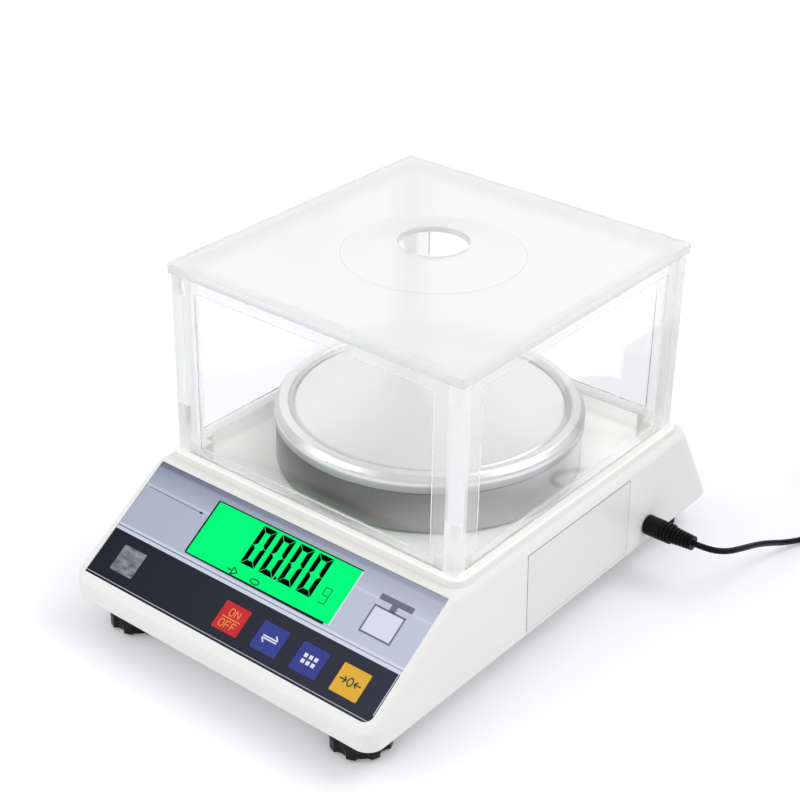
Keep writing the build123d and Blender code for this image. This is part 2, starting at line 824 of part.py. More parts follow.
# Bolts of the load cell, and the overload stop under its free end
with BuildPart() as cell_bolts:
    for bolts, head_height, length, up in (
        (fixed_bolts, cover_top, cell_bolt_length, 1),
        (free_bolts, carrier_top, cell_bolt_length, -1),
    ):
        with BuildSketch(Plane.XY.offset(head_height)):
            with Locations(*bolts):
                Circle(bolt_radius)
        extrude(amount=up * length)
        with BuildSketch(Plane.XY.offset(head_height)):
            with Locations(*bolts):
                Circle(bolt_head_radius)
        extrude(amount=-up * bolt_head)
        with BuildSketch(Plane.XY.offset(head_height - up * bolt_head)):
            with Locations(*bolts):
                RegularPolygon(bolt_radius, 6)
        extrude(amount=up * bolt_head / 2, mode=Mode.SUBTRACT)
cell_bolts.part.label = "cell_bolts"
export_step(cell_bolts.part, "parts/cell_bolts.step")

with BuildPart() as overload_stop:
    with BuildSketch(Plane.XY.offset(base_height)):
        with Locations((0, free_seat_y)):
            Circle(stop_radius)
    extrude(amount=cell_bottom - stop_gap - base_height)
overload_stop.part.label = "overload_stop"
export_step(overload_stop.part, "parts/overload_stop.step")

# Pan drum: the plastic cup that carries the pan, with its screw and its pads
pan_axis = Axis((0, pan_y, 0), (0, 0, 1))
pan_section = Plane(origin=(0, pan_y, 0), x_dir=(1, 0, 0), z_dir=(0, -1, 0))
drum_bottom = tray_floor + drum_clearance
drum_shoulder = pan_lip_height - drum_clearance / 2
with BuildPart() as pan_drum:
    with BuildSketch(pan_section):
        with BuildLine():
            Polyline(
                (0, drum_top),
                (drum_radius - drum_step, drum_top),
                (drum_radius - drum_step, drum_shoulder),
                (drum_radius, drum_shoulder),
                (drum_radius, drum_bottom),
                (drum_radius - drum_wall, drum_bottom),
                (drum_radius - drum_wall, drum_shoulder - drum_wall),
                (drum_radius - drum_step - drum_wall, drum_top - drum_wall),
                (drum_hub_radius, drum_top - drum_wall),
                (drum_hub_radius, hub_bottom),
                (0, hub_bottom),
                close=True,
            )
        make_face()
    revolve(axis=pan_axis)
    with BuildSketch(Plane.XY.offset(drum_top - drum_wall)):
        with Locations((0, pan_y)):
            with PolarLocations((drum_radius - drum_wall) / 2, 6):
                Rectangle(drum_radius - drum_wall, drum_rib)
    extrude(amount=-drum_hub_depth / 2)
    top_rim = pan_drum.edges().filter_by(GeomType.CIRCLE).group_by(Axis.Z)[-1].sort_by(SortBy.RADIUS)[-1]
    fillet(top_rim, radius=drum_step)
    with BuildSketch(Plane.XY.offset(hub_bottom)):
        with Locations((0, pan_y)):
            Circle(drum_screw_radius + pin_play)
    extrude(amount=drum_hub_depth, mode=Mode.SUBTRACT)
    with BuildSketch(Plane.XY.offset(drum_top)):
        with Locations((0, pan_y)):
            Circle(drum_screw_head_radius + 2 * pin_play)
    extrude(amount=-drum_screw_sink, mode=Mode.SUBTRACT)
pan_drum.part.label = "pan_drum"
export_step(pan_drum.part, "parts/pan_drum.step")

screw_seat = drum_top - drum_screw_sink
with BuildPart() as drum_screw:
    with BuildSketch(Plane.XY.offset(screw_seat)):
        with Locations((0, pan_y)):
            Circle(drum_screw_head_radius)
    extrude(amount=drum_screw_head)
    fillet(drum_screw.faces().sort_by(Axis.Z)[-1].edges(), radius=drum_screw_head / 3)
    with BuildSketch(Plane.XY.offset(screw_seat)):
        with Locations((0, pan_y)):
            Circle(drum_screw_radius)
    extrude(amount=hub_bottom - screw_seat - drum_screw_depth + 1)
    head_plane = Plane(origin=(0, pan_y, screw_seat + drum_screw_head))
    cross = drive_cross(head_plane, 1.2 * drum_screw_head_radius)
    extrude(cross, amount=-drum_screw_head / 2, mode=Mode.SUBTRACT)
drum_screw.part.label = "drum_screw"
export_step(drum_screw.part, "parts/drum_screw.step")

with BuildPart() as pan_pads:
    with BuildSketch(Plane.XY.offset(drum_top)):
        with Locations((0, pan_y)):
            with PolarLocations(pad_circle, 4, start_angle=45):
                Circle(pad_radius)
    extrude(amount=pad_height)
pan_pads.part.label = "pan_pads"
export_step(pan_pads.part, "parts/pan_pads.step")

# Weighing pan: pressed sheet with a groove and a raised bead round its flat face
bead_height = pan_height + pan_bead
bead_radius = pan_radius - pan_bead_width / 2 - pan_shoulder
with BuildPart() as weighing_pan:
    with BuildSketch(pan_section):
        with BuildLine():
            FilletPolyline(
                (0, pan_height),
                (pan_flat_radius, pan_height),
                (pan_groove_radius, pan_height - pan_groove),
                (bead_radius - pan_bead_width / 2, bead_height),
                (bead_radius + pan_bead_width / 2, bead_height),
                (pan_radius, bead_height - pan_shoulder),
                (pan_radius - pan_lip_draw, pan_lip_height),
                radius=[1.6, 1.2, 1.3, 2.2, 2.4],
            )
            offset(amount=pan_sheet, side=Side.RIGHT)
        make_face()
    revolve(axis=pan_axis)
weighing_pan.part.label = "weighing_pan"
export_step(weighing_pan.part, "parts/weighing_pan.step")


# Windshield: four clear panels, joined by comb joints at the corners
tab_bottom = plinth_height + low_tab_height
tab_top = shield_top - top_tab_height
half_shield_width = shield_width / 2
half_shield_depth = shield_depth / 2
window_height = shield_height - window_low - window_top
window_middle = plinth_height + window_low + window_height / 2
for end_name, end in (("front", -1), ("rear", 1)):
    outer_face = Plane(
        origin=(0, pan_y + end * half_shield_depth, 0), x_dir=(-end, 0, 0), z_dir=(0, end, 0)
    )
    with BuildPart() as shield_end:
        with BuildSketch(outer_face):
            with Locations((0, plinth_height + shield_height / 2)):
                Rectangle(shield_width, shield_height)
            for side in (-1, 1):
                with Locations((side * half_shield_width, plinth_height)):
                    Rectangle(
                        2 * (corner_tab + seam), 2 * (low_tab_height + seam), mode=Mode.SUBTRACT
                    )
                with Locations((side * half_shield_width, shield_top)):
                    Rectangle(
                        2 * (corner_tab + seam), 2 * (top_tab_height + seam), mode=Mode.SUBTRACT
                    )
        extrude(amount=-shield_wall)
        with BuildSketch(outer_face):
            with Locations((0, window_middle)):
                RectangleRounded(shield_width - 2 * front_border, window_height, 0.5)
        extrude(amount=-window_recess, mode=Mode.SUBTRACT)
    shield_end.part.label = "shield_" + end_name
    export_step(shield_end.part, "parts/shield_" + end_name + ".step")

post_inset = corner_tab - shield_wall
for side_name, side in (("left", -1), ("right", 1)):
    outer_face = Plane(
        origin=(side * half_shield_width, pan_y, 0), x_dir=(0, side, 0), z_dir=(side, 0, 0)
    )
    with BuildPart() as shield_side:
        with BuildSketch(outer_face):
            with Locations((0, plinth_height + shield_height / 2)):
                Rectangle(shield_depth, shield_height)
            for end in (-1, 1):
                with Locations((end * half_shield_depth, (tab_bottom + tab_top) / 2)):
                    Rectangle(2 * shield_wall, tab_top - tab_bottom, mode=Mode.SUBTRACT)
        extrude(amount=-shield_wall)
        with BuildSketch(outer_face):
            with Locations((0, window_middle)):
                RectangleRounded(shield_depth - 2 * side_border, window_height, 0.5)
        extrude(amount=-window_recess, mode=Mode.SUBTRACT)
        # Posts inside the corners
        with BuildSketch(Plane.XY.offset(plinth_height)):
            for end in (-1, 1):
                with Locations(
                    (
                        side * (half_shield_width - shield_wall - post_inset / 2),
                        pan_y + end * (half_shield_depth - shield_wall - post_inset / 2),
                    )
                ):
                    Rectangle(post_inset, post_inset)
        extrude(amount=shield_height)
        # Tabs that turn the corners above and below the end panels
        for tab_foot, tab_height in (
            (plinth_height, low_tab_height),
            (tab_top, top_tab_height),
        ):
            with BuildSketch(Plane.XY.offset(tab_foot)):
                for end in (-1, 1):
                    with Locations(
                        (
                            side * (half_shield_width - shield_wall - post_inset / 2),
                            pan_y + end * (half_shield_depth - shield_wall / 2),
                        )
                    ):
                        Rectangle(post_inset, shield_wall)
            extrude(amount=tab_height)
    shield_side.part.label = "shield_" + side_name
    export_step(shield_side.part, "parts/shield_" + side_name + ".step")

# Locators in the corners of the tray that hold the windshield in place
inner_x = half_shield_width - shield_wall
inner_y = half_shield_depth - shield_wall
with BuildPart() as shield_locators:
    with BuildSketch(Plane.XY.offset(tray_floor)):
        for side in (-1, 1):
            for end in (-1, 1):
                outside = Vector(side * (inner_x - shield_play), pan_y + end * (inner_y - shield_play))
                middle = outside - Vector(side, end) * (locator_size / 2)
                inside = outside - Vector(side, end) * locator_size
                with Locations(middle):
                    Rectangle(locator_size, locator_size)
                with Locations(outside):
                    Rectangle(2 * post_inset, 2 * post_inset, mode=Mode.SUBTRACT)
                with Locations(inside):
                    inner_cut = 2 * (locator_size - locator_leg)
                    Rectangle(inner_cut, inner_cut, mode=Mode.SUBTRACT)
    extrude(amount=tray_depth + locator_rise)
    foot_edges = shield_locators.edges().group_by(Axis.Z)[0]
    outer_edges = foot_edges.filter_by(
        lambda edge: abs(edge.center().X) > inner_x - 2 * shield_play
        or abs(edge.center().Y - pan_y) > inner_y - 2 * shield_play
    )
    chamfer(outer_edges, length=tray_round - tray_margin)
shield_locators.part.label = "shield_locators"
export_step(shield_locators.part, "parts/shield_locators.step")

# Lid of the windshield: rimmed sheet with a low dome round its hole
lid_top = shield_top + lid_edge
lid_width = shield_width + 2 * lid_overhang
lid_depth = shield_depth + 2 * lid_overhang
rib_width = shield_width - 2 * shield_wall - 2 * shield_play
rib_depth = shield_depth - 2 * shield_wall - 2 * shield_play
post_notch = 2 * (post_inset + shield_play)
with BuildPart() as shield_lid:
    with BuildSketch(Plane.XY.offset(shield_top)):
        with Locations((0, pan_y)):
            RectangleRounded(lid_width, lid_depth, lid_corner)
    extrude(amount=lid_edge)
    with BuildSketch(Plane.XY.offset(shield_top)):
        with Locations((0, pan_y)):
            Rectangle(rib_width, rib_depth)
    extrude(amount=-lid_rib_drop)
    with BuildSketch(Plane.XY.offset(lid_top - lid_sheet)):
        with Locations((0, pan_y)):
            Rectangle(rib_width - 2 * lid_rib_width, rib_depth - 2 * lid_rib_width)
    extrude(amount=-lid_edge - lid_rib_drop, mode=Mode.SUBTRACT)
    with BuildSketch(Plane.XY.offset(shield_top - lid_rib_drop)):
        for side in (-1, 1):
            for end in (-1, 1):
                with Locations((side * inner_x, pan_y + end * inner_y)):
                    Rectangle(post_notch, post_notch)
    extrude(amount=lid_rib_drop, mode=Mode.SUBTRACT)
    with BuildSketch(Plane.XY.offset(shield_top)):
        with Locations((0, pan_y)):
            Circle(dome_radius - lid_sheet / 4)
    extrude(amount=lid_edge, mode=Mode.SUBTRACT)
    with BuildSketch(pan_section):
        with BuildLine():
            Polyline(
                (dome_radius, lid_top),
                (dome_hole_radius, lid_top + dome_rise),
                (dome_hole_radius, lid_top + dome_rise - lid_sheet),
                (dome_radius - lid_sheet / 2, lid_top - lid_sheet),
                (dome_radius, lid_top - lid_sheet),
                close=True,
            )
        make_face()
    revolve(axis=pan_axis)
    hole_rim = shield_lid.edges().filter_by(GeomType.CIRCLE).group_by(Axis.Z)[-1]
    fillet(hole_rim, radius=lid_sheet / 3)
shield_lid.part.label = "shield_lid"
export_step(shield_lid.part, "parts/shield_lid.step")

# Main board, its components and the low-voltage inlet
board_top = cover_top + board_standoff + board_thickness
with BuildPart() as main_board:
    with BuildSketch(Plane.XY.offset(cover_top + board_standoff)):
        with Locations((board_x, board_y)):
            Rectangle(main_board_width, main_board_length)
        with Locations(*main_board_places):
            Circle(board_screw_radius + pin_play, mode=Mode.SUBTRACT)
    extrude(amount=board_thickness)
main_board.part.label = "main_board"
export_step(main_board.part, "parts/main_board.step")

jack_half = jack_height - board_top
jack_face_x = half_width(jack_height + jack_half) - wall
wall_face_x = half_width(jack_height - plug_radius)
nozzle_x = half_width(jack_height + jack_nozzle_radius)
with BuildPart() as power_inlet:
    with BuildSketch(Plane.YZ.offset(jack_face_x - jack_length)):
        with Locations((jack_y, jack_height)):
            Rectangle(2 * jack_half, 2 * jack_half)
    extrude(amount=jack_length)
    with BuildSketch(Plane.YZ.offset(jack_face_x)):
        with Locations((jack_y, jack_height)):
            Circle(jack_nozzle_radius)
    extrude(amount=nozzle_x - jack_face_x)
    with BuildSketch(Plane.YZ.offset(nozzle_x)):
        with Locations((jack_y, jack_height)):
            Circle(plug_pin_radius + pin_play)
            Circle(jack_pin_radius, mode=Mode.SUBTRACT)
    extrude(amount=-plug_pin_length - seam, mode=Mode.SUBTRACT)
power_inlet.part.label = "power_inlet"
export_step(power_inlet.part, "parts/power_inlet.step")

# Rating label
with BuildPart() as rating_label:
    with BuildSketch(wall_plane.offset(-label_recess)):
        RectangleRounded(label_length, label_height, 0.8)
    extrude(amount=label_thickness)
rating_label.part.label = "rating_label"
export_step(rating_label.part, "parts/rating_label.step")

# Plug of the cord: metal sleeve, moulded grip and ribbed strain relief
relief_start = wall_face_x + plug_grip_length
cord_start = relief_start + relief_length
with BuildPart() as plug_sleeve:
    with BuildSketch(Plane.YZ.offset(wall_face_x)):
        with Locations((jack_y, jack_height)):
            Circle(plug_pin_radius)
            Circle(plug_bore_radius, mode=Mode.SUBTRACT)
    extrude(amount=-plug_pin_length)
plug_sleeve.part.label = "plug_sleeve"
export_step(plug_sleeve.part, "parts/plug_sleeve.step")

relief_pitch = relief_length / relief_ribs
with BuildPart() as cord_plug:
    with BuildSketch(Plane.YZ.offset(wall_face_x)):
        with Locations((jack_y, jack_height)):
            Circle(plug_radius)
    extrude(amount=plug_grip_length)
    fillet(cord_plug.edges().filter_by(GeomType.CIRCLE), radius=plug_radius / 8)
    for i in range(3):
        with BuildSketch(Plane.YZ.offset(relief_start - (i + 1) * relief_pitch)):
            with Locations((jack_y, jack_height)):
                Circle(plug_radius + grip_groove)
                Circle(plug_radius - grip_groove, mode=Mode.SUBTRACT)
        extrude(amount=relief_pitch / 2, mode=Mode.SUBTRACT)
    for i in range(relief_ribs):
        rib_x = relief_start + i * relief_pitch
        rib_radius = relief_radius + (relief_end_radius - relief_radius) * i / relief_ribs
        with BuildSketch(Plane.YZ.offset(rib_x)):
            with Locations((jack_y, jack_height)):
                Circle(rib_radius - grip_groove)
        extrude(amount=relief_pitch)
        with BuildSketch(Plane.YZ.offset(rib_x + relief_pitch / 2)):
            with Locations((jack_y, jack_height)):
                Circle(rib_radius)
        extrude(amount=relief_pitch / 2)
cord_plug.part.label = "cord_plug"
export_step(cord_plug.part, "parts/cord_plug.step")

# Cord from the plug down to the table, then along it to the coil
cord_radius = cord_diameter / 2
coil_pitch = cord_diameter + coil_gap
coil_outer_radius = coil_middle_radius + coil_half_turns * coil_pitch / 4
coil_start = Vector(coil_start_x, coil_start_y, cord_radius)
first_run = 7.9
cord_route = [
    (cord_start, jack_y, jack_height),
    (cord_start + first_run, jack_y, jack_height),
    (121.2, 73.0, 24.0),
    (123.2, 83.0, 21.4),
    (123.2, 96.0, 16.7),
    (123.4, 109.5, 10.9),
    (125.2, 122.5, 5.2),
    (128.5, 135.0, 1.9),
    (132.2, 147.5, cord_radius),
    (coil_start_x, 160.0, cord_radius),
    (coil_start_x, coil_start_y - cord_diameter, cord_radius),
]


def corner_radii(route):
    """Radius of the arc at each corner of a cord's route, as large as its runs allow."""
    points = [Vector(*point) for point in route]
    radii = []
    for before, corner, after in zip(points, points[1:], points[2:]):
        run_in = corner - before
        run_out = after - corner
        turn = radians(run_in.get_angle(run_out))
        radii.append(0.45 * min(run_in.length, run_out.length) / tan(turn / 2))
    return radii


cord_radii = corner_radii(cord_route)
print("cord radii", [round(radius, 1) for radius in cord_radii])
with BuildPart() as power_cord:
    with BuildLine() as cord_line:
        FilletPolyline(*cord_route, radius=cord_radii)
    with BuildSketch(Plane(origin=cord_line.line @ 0, z_dir=cord_line.line % 0)):
        Circle(cord_radius)
    sweep()
power_cord.part.label = "power_cord"
export_step(power_cord.part, "parts/power_cord.step")
cord_length = cord_line.wires()[0].length
print("cord volume ratio", power_cord.part.volume / (pi * cord_radius**2 * cord_length))

# Cord put away: one unbroken tube that spirals in and out in layers
layer_rise = cord_diameter + coil_layer_gap
coil_centre = coil_start + Vector(coil_outer_radius, 0, 0)
coil_points = [coil_start]
radius = coil_outer_radius
height = 0
side = -1
for layer in range(coil_layers):
    step = -coil_pitch / 2 if layer % 2 == 0 else coil_pitch / 2
    for turn in range(coil_half_turns):
        radius += step
        side = -side
        coil_points.append(coil_centre + Vector(side * radius, 0, height))
    side = -side
    if layer < coil_layers - 1:
        height += layer_rise
    else:
        radius += step
    coil_points.append(coil_centre + Vector(side * radius, 0, height))
coil_end = coil_points[-1]

with BuildPart() as cord_coil:
    with BuildLine() as coil_line:
        Line(coil_start - Vector(0, cord_diameter, 0), coil_start)
        heading = Vector(0, 1, 0)
        for start, end in zip(coil_points, coil_points[1:]):
            middle = (start + end) / 2 + heading * ((end - start).length / 2)
            first = TangentArc(start, middle, tangent=heading)
            TangentArc(middle, end, tangent=first % 1)
            heading = -heading
        Line(coil_end, coil_end + Vector(0, coil_tail, 0))
    with BuildSketch(Plane(origin=coil_line.line @ 0, z_dir=(0, 1, 0))):
        Circle(cord_radius)
    sweep()
cord_coil.part.label = "cord_coil"
export_step(cord_coil.part, "parts/cord_coil.step")

coil_wire = coil_line.wires()[0]
coil_length = coil_wire.length
samples = [coil_wire @ (i / 1400) for i in range(1401)]
sample_step = coil_length / 1400
apart = int(pi * cord_diameter / sample_step) + 1
least = min(
    (samples[i] - samples[j]).length
    for i in range(0, 1401, 2)
    for j in range(i + apart, 1401, 2)
)
print("coil least gap", round(least - cord_diameter, 2), "coil length", round(coil_length))
print("whole cord length", round(cord_length + coil_length))

# Mains adapter lying with its blades up, beside the coil
relief_face_y = coil_end.Y + coil_tail
adapter_face_y = relief_face_y + adapter_relief
with BuildPart() as power_adapter:
    with BuildSketch(Plane.XY):
        with Locations((coil_end.X + adapter_offset, adapter_face_y + adapter_length / 2)):
            RectangleRounded(adapter_width, adapter_length, adapter_edge)
    extrude(amount=adapter_height)
    fillet(power_adapter.faces().sort_by(Axis.Z)[-1].edges(), radius=adapter_edge / 2)
    fillet(power_adapter.faces().sort_by(Axis.Z)[0].edges(), radius=adapter_edge / 4)
    with BuildSketch(Plane(origin=(coil_end.X, relief_face_y, coil_end.Z), z_dir=(0, 1, 0))):
        Circle(relief_end_radius)
    extrude(amount=adapter_relief + adapter_edge)
power_adapter.part.label = "power_adapter"
export_step(power_adapter.part, "parts/power_adapter.step")

with BuildPart() as adapter_blades:
    with BuildSketch(Plane.XY.offset(adapter_height)):
        with Locations((coil_end.X + adapter_offset, adapter_face_y + 0.7 * adapter_length)):
            with GridLocations(blade_pitch, 1, 2, 1):
                Rectangle(blade_thickness, blade_width)
    extrude(amount=blade_length)
    blade_tips = adapter_blades.faces().filter_by(Axis.Z).group_by(Axis.Z)[-1]
    chamfer(blade_tips.edges(), length=blade_thickness / 4)
adapter_blades.part.label = "adapter_blades"
export_step(adapter_blades.part, "parts/adapter_blades.step")
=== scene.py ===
from math import cos, pi, radians, sin

import bpy
import bmesh
from mathutils import Matrix, Vector


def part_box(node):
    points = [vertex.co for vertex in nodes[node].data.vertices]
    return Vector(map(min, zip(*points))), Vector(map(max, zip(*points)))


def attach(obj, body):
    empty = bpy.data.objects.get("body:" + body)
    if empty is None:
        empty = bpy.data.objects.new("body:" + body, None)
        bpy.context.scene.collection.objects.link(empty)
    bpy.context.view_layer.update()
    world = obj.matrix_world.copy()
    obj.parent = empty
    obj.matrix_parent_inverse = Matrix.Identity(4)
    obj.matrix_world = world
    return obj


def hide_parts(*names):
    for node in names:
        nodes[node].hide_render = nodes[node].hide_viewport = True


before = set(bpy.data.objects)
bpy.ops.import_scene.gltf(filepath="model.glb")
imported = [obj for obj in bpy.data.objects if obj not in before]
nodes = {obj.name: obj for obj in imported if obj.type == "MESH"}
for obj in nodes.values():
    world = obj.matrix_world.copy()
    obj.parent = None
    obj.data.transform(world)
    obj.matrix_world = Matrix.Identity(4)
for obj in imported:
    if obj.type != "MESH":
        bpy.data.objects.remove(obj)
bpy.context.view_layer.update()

# Camera: where it stands, what it looks at, its roll and its lens, in metres and millimetres
CAMERA_PLACE = Vector((0.40981, -0.51876, 0.45827))
CAMERA_TARGET = Vector((-0.02970, 0.03071, 0.0630))
CAMERA_ROLL = radians(1.0)
LENS = 79.36
SENSOR = 36.0

# Front film: its slope, its sheet, and the places of its print and of its painted shade and gleam, as
# distances down from its top edge
SLOPE = radians(33.8)
FILM_THICKNESS = 0.0005
FILM_LENGTH = 0.0576
FILM_HALF = 0.0785
TOP_SHADE = 0.0028
GLEAM = 0.0118
GROOVE = 0.0332
DIVIDER = 0.0350
FOOT_LINE = 0.0565
MARK_LIFT = 0.00003
DISPLAY_X = -0.0007
DISPLAY_T = 0.01765
DISPLAY_WIDTH = 0.0794
DISPLAY_LENGTH = 0.0259

# Windshield: its reach from the pan's axis, and the clear windows inside the frosted borders
PAN_Y = 0.01425
PLINTH_TOP = 0.0630
SHIELD_TOP = 0.1473
SHIELD_HALF_WIDTH = 0.0755
SHIELD_HALF_DEPTH = 0.0788
POST_WIDTH = 0.0060
LID_LINE_INSET = 0.0010
WINDOW_LOW = PLINTH_TOP + 0.0043
WINDOW_TOP = SHIELD_TOP - 0.0058
FRONT_WINDOW_HALF = SHIELD_HALF_WIDTH - 0.0129
SIDE_WINDOW_HALF = SHIELD_HALF_DEPTH - 0.0135
FRONT_POST_HALF = SHIELD_HALF_WIDTH - POST_WIDTH
SIDE_POST_HALF = SHIELD_HALF_DEPTH - POST_WIDTH
DOME_RADIUS = 0.0392
DOME_HOLE = 0.0146
LID_LINE_X = SHIELD_HALF_WIDTH - LID_LINE_INSET
LID_LINE_Y = SHIELD_HALF_DEPTH - LID_LINE_INSET

# Pan, and the tray round it
PAN_RADIUS = 0.0675
PAN_FACE = 0.0815
PAN_LIP = 0.0752
TRAY_FLOOR = 0.0552
TRAY_HALF_WIDTH = 0.0746
TRAY_HALF_LENGTH = 0.0779

# Rating label: the middle of its wall's face, and its size
LABEL_MIDDLE = Vector((0.082777, 0.0138, 0.03635))
LABEL_LENGTH = 0.0767
LABEL_HEIGHT = 0.0377
WALL_DRAFT = radians(1.94)

# Cord: the listed points of its route, its coil and its length, in metres
CORD_DIAMETER = 0.0028
CORD_ROUTE = [
    (0.1212, 0.0730, 0.0240),
    (0.1232, 0.0830, 0.0214),
    (0.1232, 0.0960, 0.0167),
    (0.1234, 0.1095, 0.0109),
    (0.1252, 0.1225, 0.0052),
    (0.1285, 0.1350, 0.0019),
    (0.1322, 0.1475, 0.0014),
    (0.1352, 0.1600, 0.0014),
]
COIL_START = Vector((0.1352, 0.1720, 0.0014))
COIL_MIDDLE_RADIUS = 0.015
COIL_HALF_TURNS = 5
COIL_LAYERS = 4
COIL_PITCH = 0.0040
COIL_RISE = 0.0039
COIL_TAIL = 0.014

# Levels of the studio light, and of the glow painted on the tray
AMBIENT = 0.73
FLOOR_GLOW = 0.13
# Strength of the glow painted on the tray and the plinth's ledge; they are no lamp
TRAY_PAINTED_GLOW = 0.34
WHITE = (1.0, 1.0, 1.0, 1.0)


def colour(red, green, blue):
    """Linear colour, with full alpha, of a screen colour given from 0 to 255."""
    channels = []
    for value in (red, green, blue):
        value = value / 255
        channels.append(value / 12.92 if value <= 0.04045 else ((value + 0.055) / 1.055) ** 2.4)
    return (*channels, 1.0)


class Shader:
    """A node material built from small steps, with the object's own place as its coordinates."""

    def __init__(self, name):
        self.material = bpy.data.materials.new(name)
        self.material.use_nodes = True
        self.tree = self.material.node_tree
        self.base = self.tree.nodes["Principled BSDF"]
        self.place = self.add("ShaderNodeTexCoord").outputs["Object"]

    def add(self, kind, **values):
        node = self.tree.nodes.new(kind)
        for key, value in values.items():
            setattr(node, key, value)
        return node

    def link(self, source, target):
        self.tree.links.new(source, target)

    def feed(self, socket, value):
        if isinstance(value, bpy.types.NodeSocket):
            self.link(value, socket)
        else:
            socket.default_value = value

    def set(self, **values):
        for key, value in values.items():
            self.feed(self.base.inputs[key.replace("_", " ")], value)
        return self

    def math(self, operation, first, second=0.0, clamp=False):
        node = self.add("ShaderNodeMath", operation=operation, use_clamp=clamp)
        self.feed(node.inputs[0], first)
        self.feed(node.inputs[1], second)
        return node.outputs[0]

    def mix(self, factor, first, second):
        node = self.add("ShaderNodeMix", data_type="RGBA")
        self.feed(node.inputs["Factor"], factor)
        self.feed(node.inputs[6], first)
        self.feed(node.inputs[7], second)
        return node.outputs[2]

    def noise(self, scale, detail=2.0, stretch=(1, 1, 1)):
        mapping = self.add("ShaderNodeMapping")
        mapping.inputs["Scale"].default_value = stretch
        self.link(self.place, mapping.inputs["Vector"])
        node = self.add("ShaderNodeTexNoise")
        node.inputs["Scale"].default_value = scale
        node.inputs["Detail"].default_value = detail
        self.link(mapping.outputs[0], node.inputs["Vector"])
        return node.outputs["Fac"]

    def spread(self, value, low, high):
        node = self.add("ShaderNodeMapRange")
        self.feed(node.inputs["Value"], value)
        node.inputs["To Min"].default_value = low
        node.inputs["To Max"].default_value = high
        return node.outputs[0]

    def bump(self, height, strength, distance):
        node = self.add("ShaderNodeBump")
        node.inputs["Strength"].default_value = strength
        node.inputs["Distance"].default_value = distance
        self.link(height, node.inputs["Height"])
        self.link(node.outputs["Normal"], self.base.inputs["Normal"])
        return self

    def let_light_through(self, share):
        """Lets a share of the light pass straight through, so that clear walls cast no dark shadow."""
        paths = self.add("ShaderNodeLightPath")
        passing = self.math("MAXIMUM", paths.outputs["Is Shadow Ray"], paths.outputs["Is Diffuse Ray"])
        clear = self.add("ShaderNodeBsdfTransparent")
        clear.inputs["Color"].default_value = (share, share, share, 1.0)
        mixed = self.add("ShaderNodeMixShader")
        self.link(passing, mixed.inputs[0])
        self.link(self.base.outputs[0], mixed.inputs[1])
        self.link(clear.outputs[0], mixed.inputs[2])
        self.link(mixed.outputs[0], self.tree.nodes["Material Output"].inputs["Surface"])
        return self

    def axes(self):
        node = self.add("ShaderNodeSeparateXYZ")
        self.link(self.place, node.inputs[0])
        return node.outputs

    def radius(self, x, y):
        """Distance from an upright axis through x, y."""
        place = self.axes()
        across = self.math("SUBTRACT", place["X"], x)
        along = self.math("SUBTRACT", place["Y"], y)
        across = self.math("MULTIPLY", across, across)
        along = self.math("MULTIPLY", along, along)
        return self.math("SQRT", self.math("ADD", across, along))

    def within(self, value, low, high, edge=0.0001):
        """One between two limits and nought outside them, with a narrow slope."""
        rise = self.math("DIVIDE", self.math("SUBTRACT", value, low), edge, clamp=True)
        fall = self.math("DIVIDE", self.math("SUBTRACT", high, value), edge, clamp=True)
        return self.math("MULTIPLY", rise, fall)


def moulded(
    name, shade, roughness=0.45, grain=900.0, depth=0.00006, strength=0.25, variation=0.03, **extra
):
    """Moulded plastic: fine grain, slight shifts of tone and of gloss."""
    made = Shader(name)
    tone = made.noise(35.0, 3.0)
    light = tuple(min(1.0, channel * (1 + variation)) for channel in shade[:3]) + (1.0,)
    dark = tuple(channel * (1 - variation) for channel in shade[:3]) + (1.0,)
    made.set(Base_Color=made.mix(tone, dark, light))
    made.set(Roughness=made.spread(made.noise(120.0, 2.0), roughness - 0.05, roughness + 0.05))
    made.bump(made.noise(grain, 3.0), strength, depth)
    made.set(**extra)
    return made.material


def metal(name, shade, roughness=0.3, scratch=(1, 1, 30), depth=0.00002):
    """Metal with a fine directional finish."""
    made = Shader(name)
    lines = made.noise(60.0, 6.0, stretch=scratch)
    dark = tuple(channel * 0.88 for channel in shade[:3]) + (1.0,)
    made.set(Base_Color=made.mix(lines, dark, shade), Metallic=1.0)
    made.set(Roughness=made.spread(lines, roughness - 0.06, roughness + 0.08))
    made.bump(lines, 0.15, depth)
    return made.material


def pan_material():
    """Pan of polished steel, with painted shade in its groove and low on the rounding of its edge, and a
    painted highlight along that rounding.
    """
    made = Shader("pan_steel")
    radius = made.radius(0.0, PAN_Y)
    height = made.axes()["Z"]
    # Painted shade in the groove round the pan's face
    groove = made.within(radius, PAN_RADIUS - 0.0100, PAN_RADIUS - 0.0058, 0.0014)
    top = made.mix(groove, steel_face_and_highlight, steel_painted_dim)
    # Painted shade low on the rounding of the edge, and a painted highlight along its middle
    share = made.math("DIVIDE", made.math("SUBTRACT", height, PAN_LIP), PAN_FACE - PAN_LIP, clamp=True)
    edge = made.mix(share, steel_painted_shade, steel_painted_dim)
    edge = made.mix(made.within(share, 0.42, 0.82, 0.18), edge, steel_face_and_highlight)
    outside = made.math("GREATER_THAN", radius, 0.965 * PAN_RADIUS)
    cloud = made.mix(made.noise(22.0, 2.0), colour(238, 238, 238), colour(255, 255, 255))
    tone = made.add("ShaderNodeMix", data_type="RGBA", blend_type="MULTIPLY")
    tone.inputs["Factor"].default_value = 1.0
    made.link(made.mix(outside, top, edge), tone.inputs[6])
    made.link(cloud, tone.inputs[7])
    made.set(Base_Color=tone.outputs[2], Metallic=1.0)
    made.set(Roughness=made.spread(made.noise(60.0, 3.0), 0.27, 0.29))
    return made.material


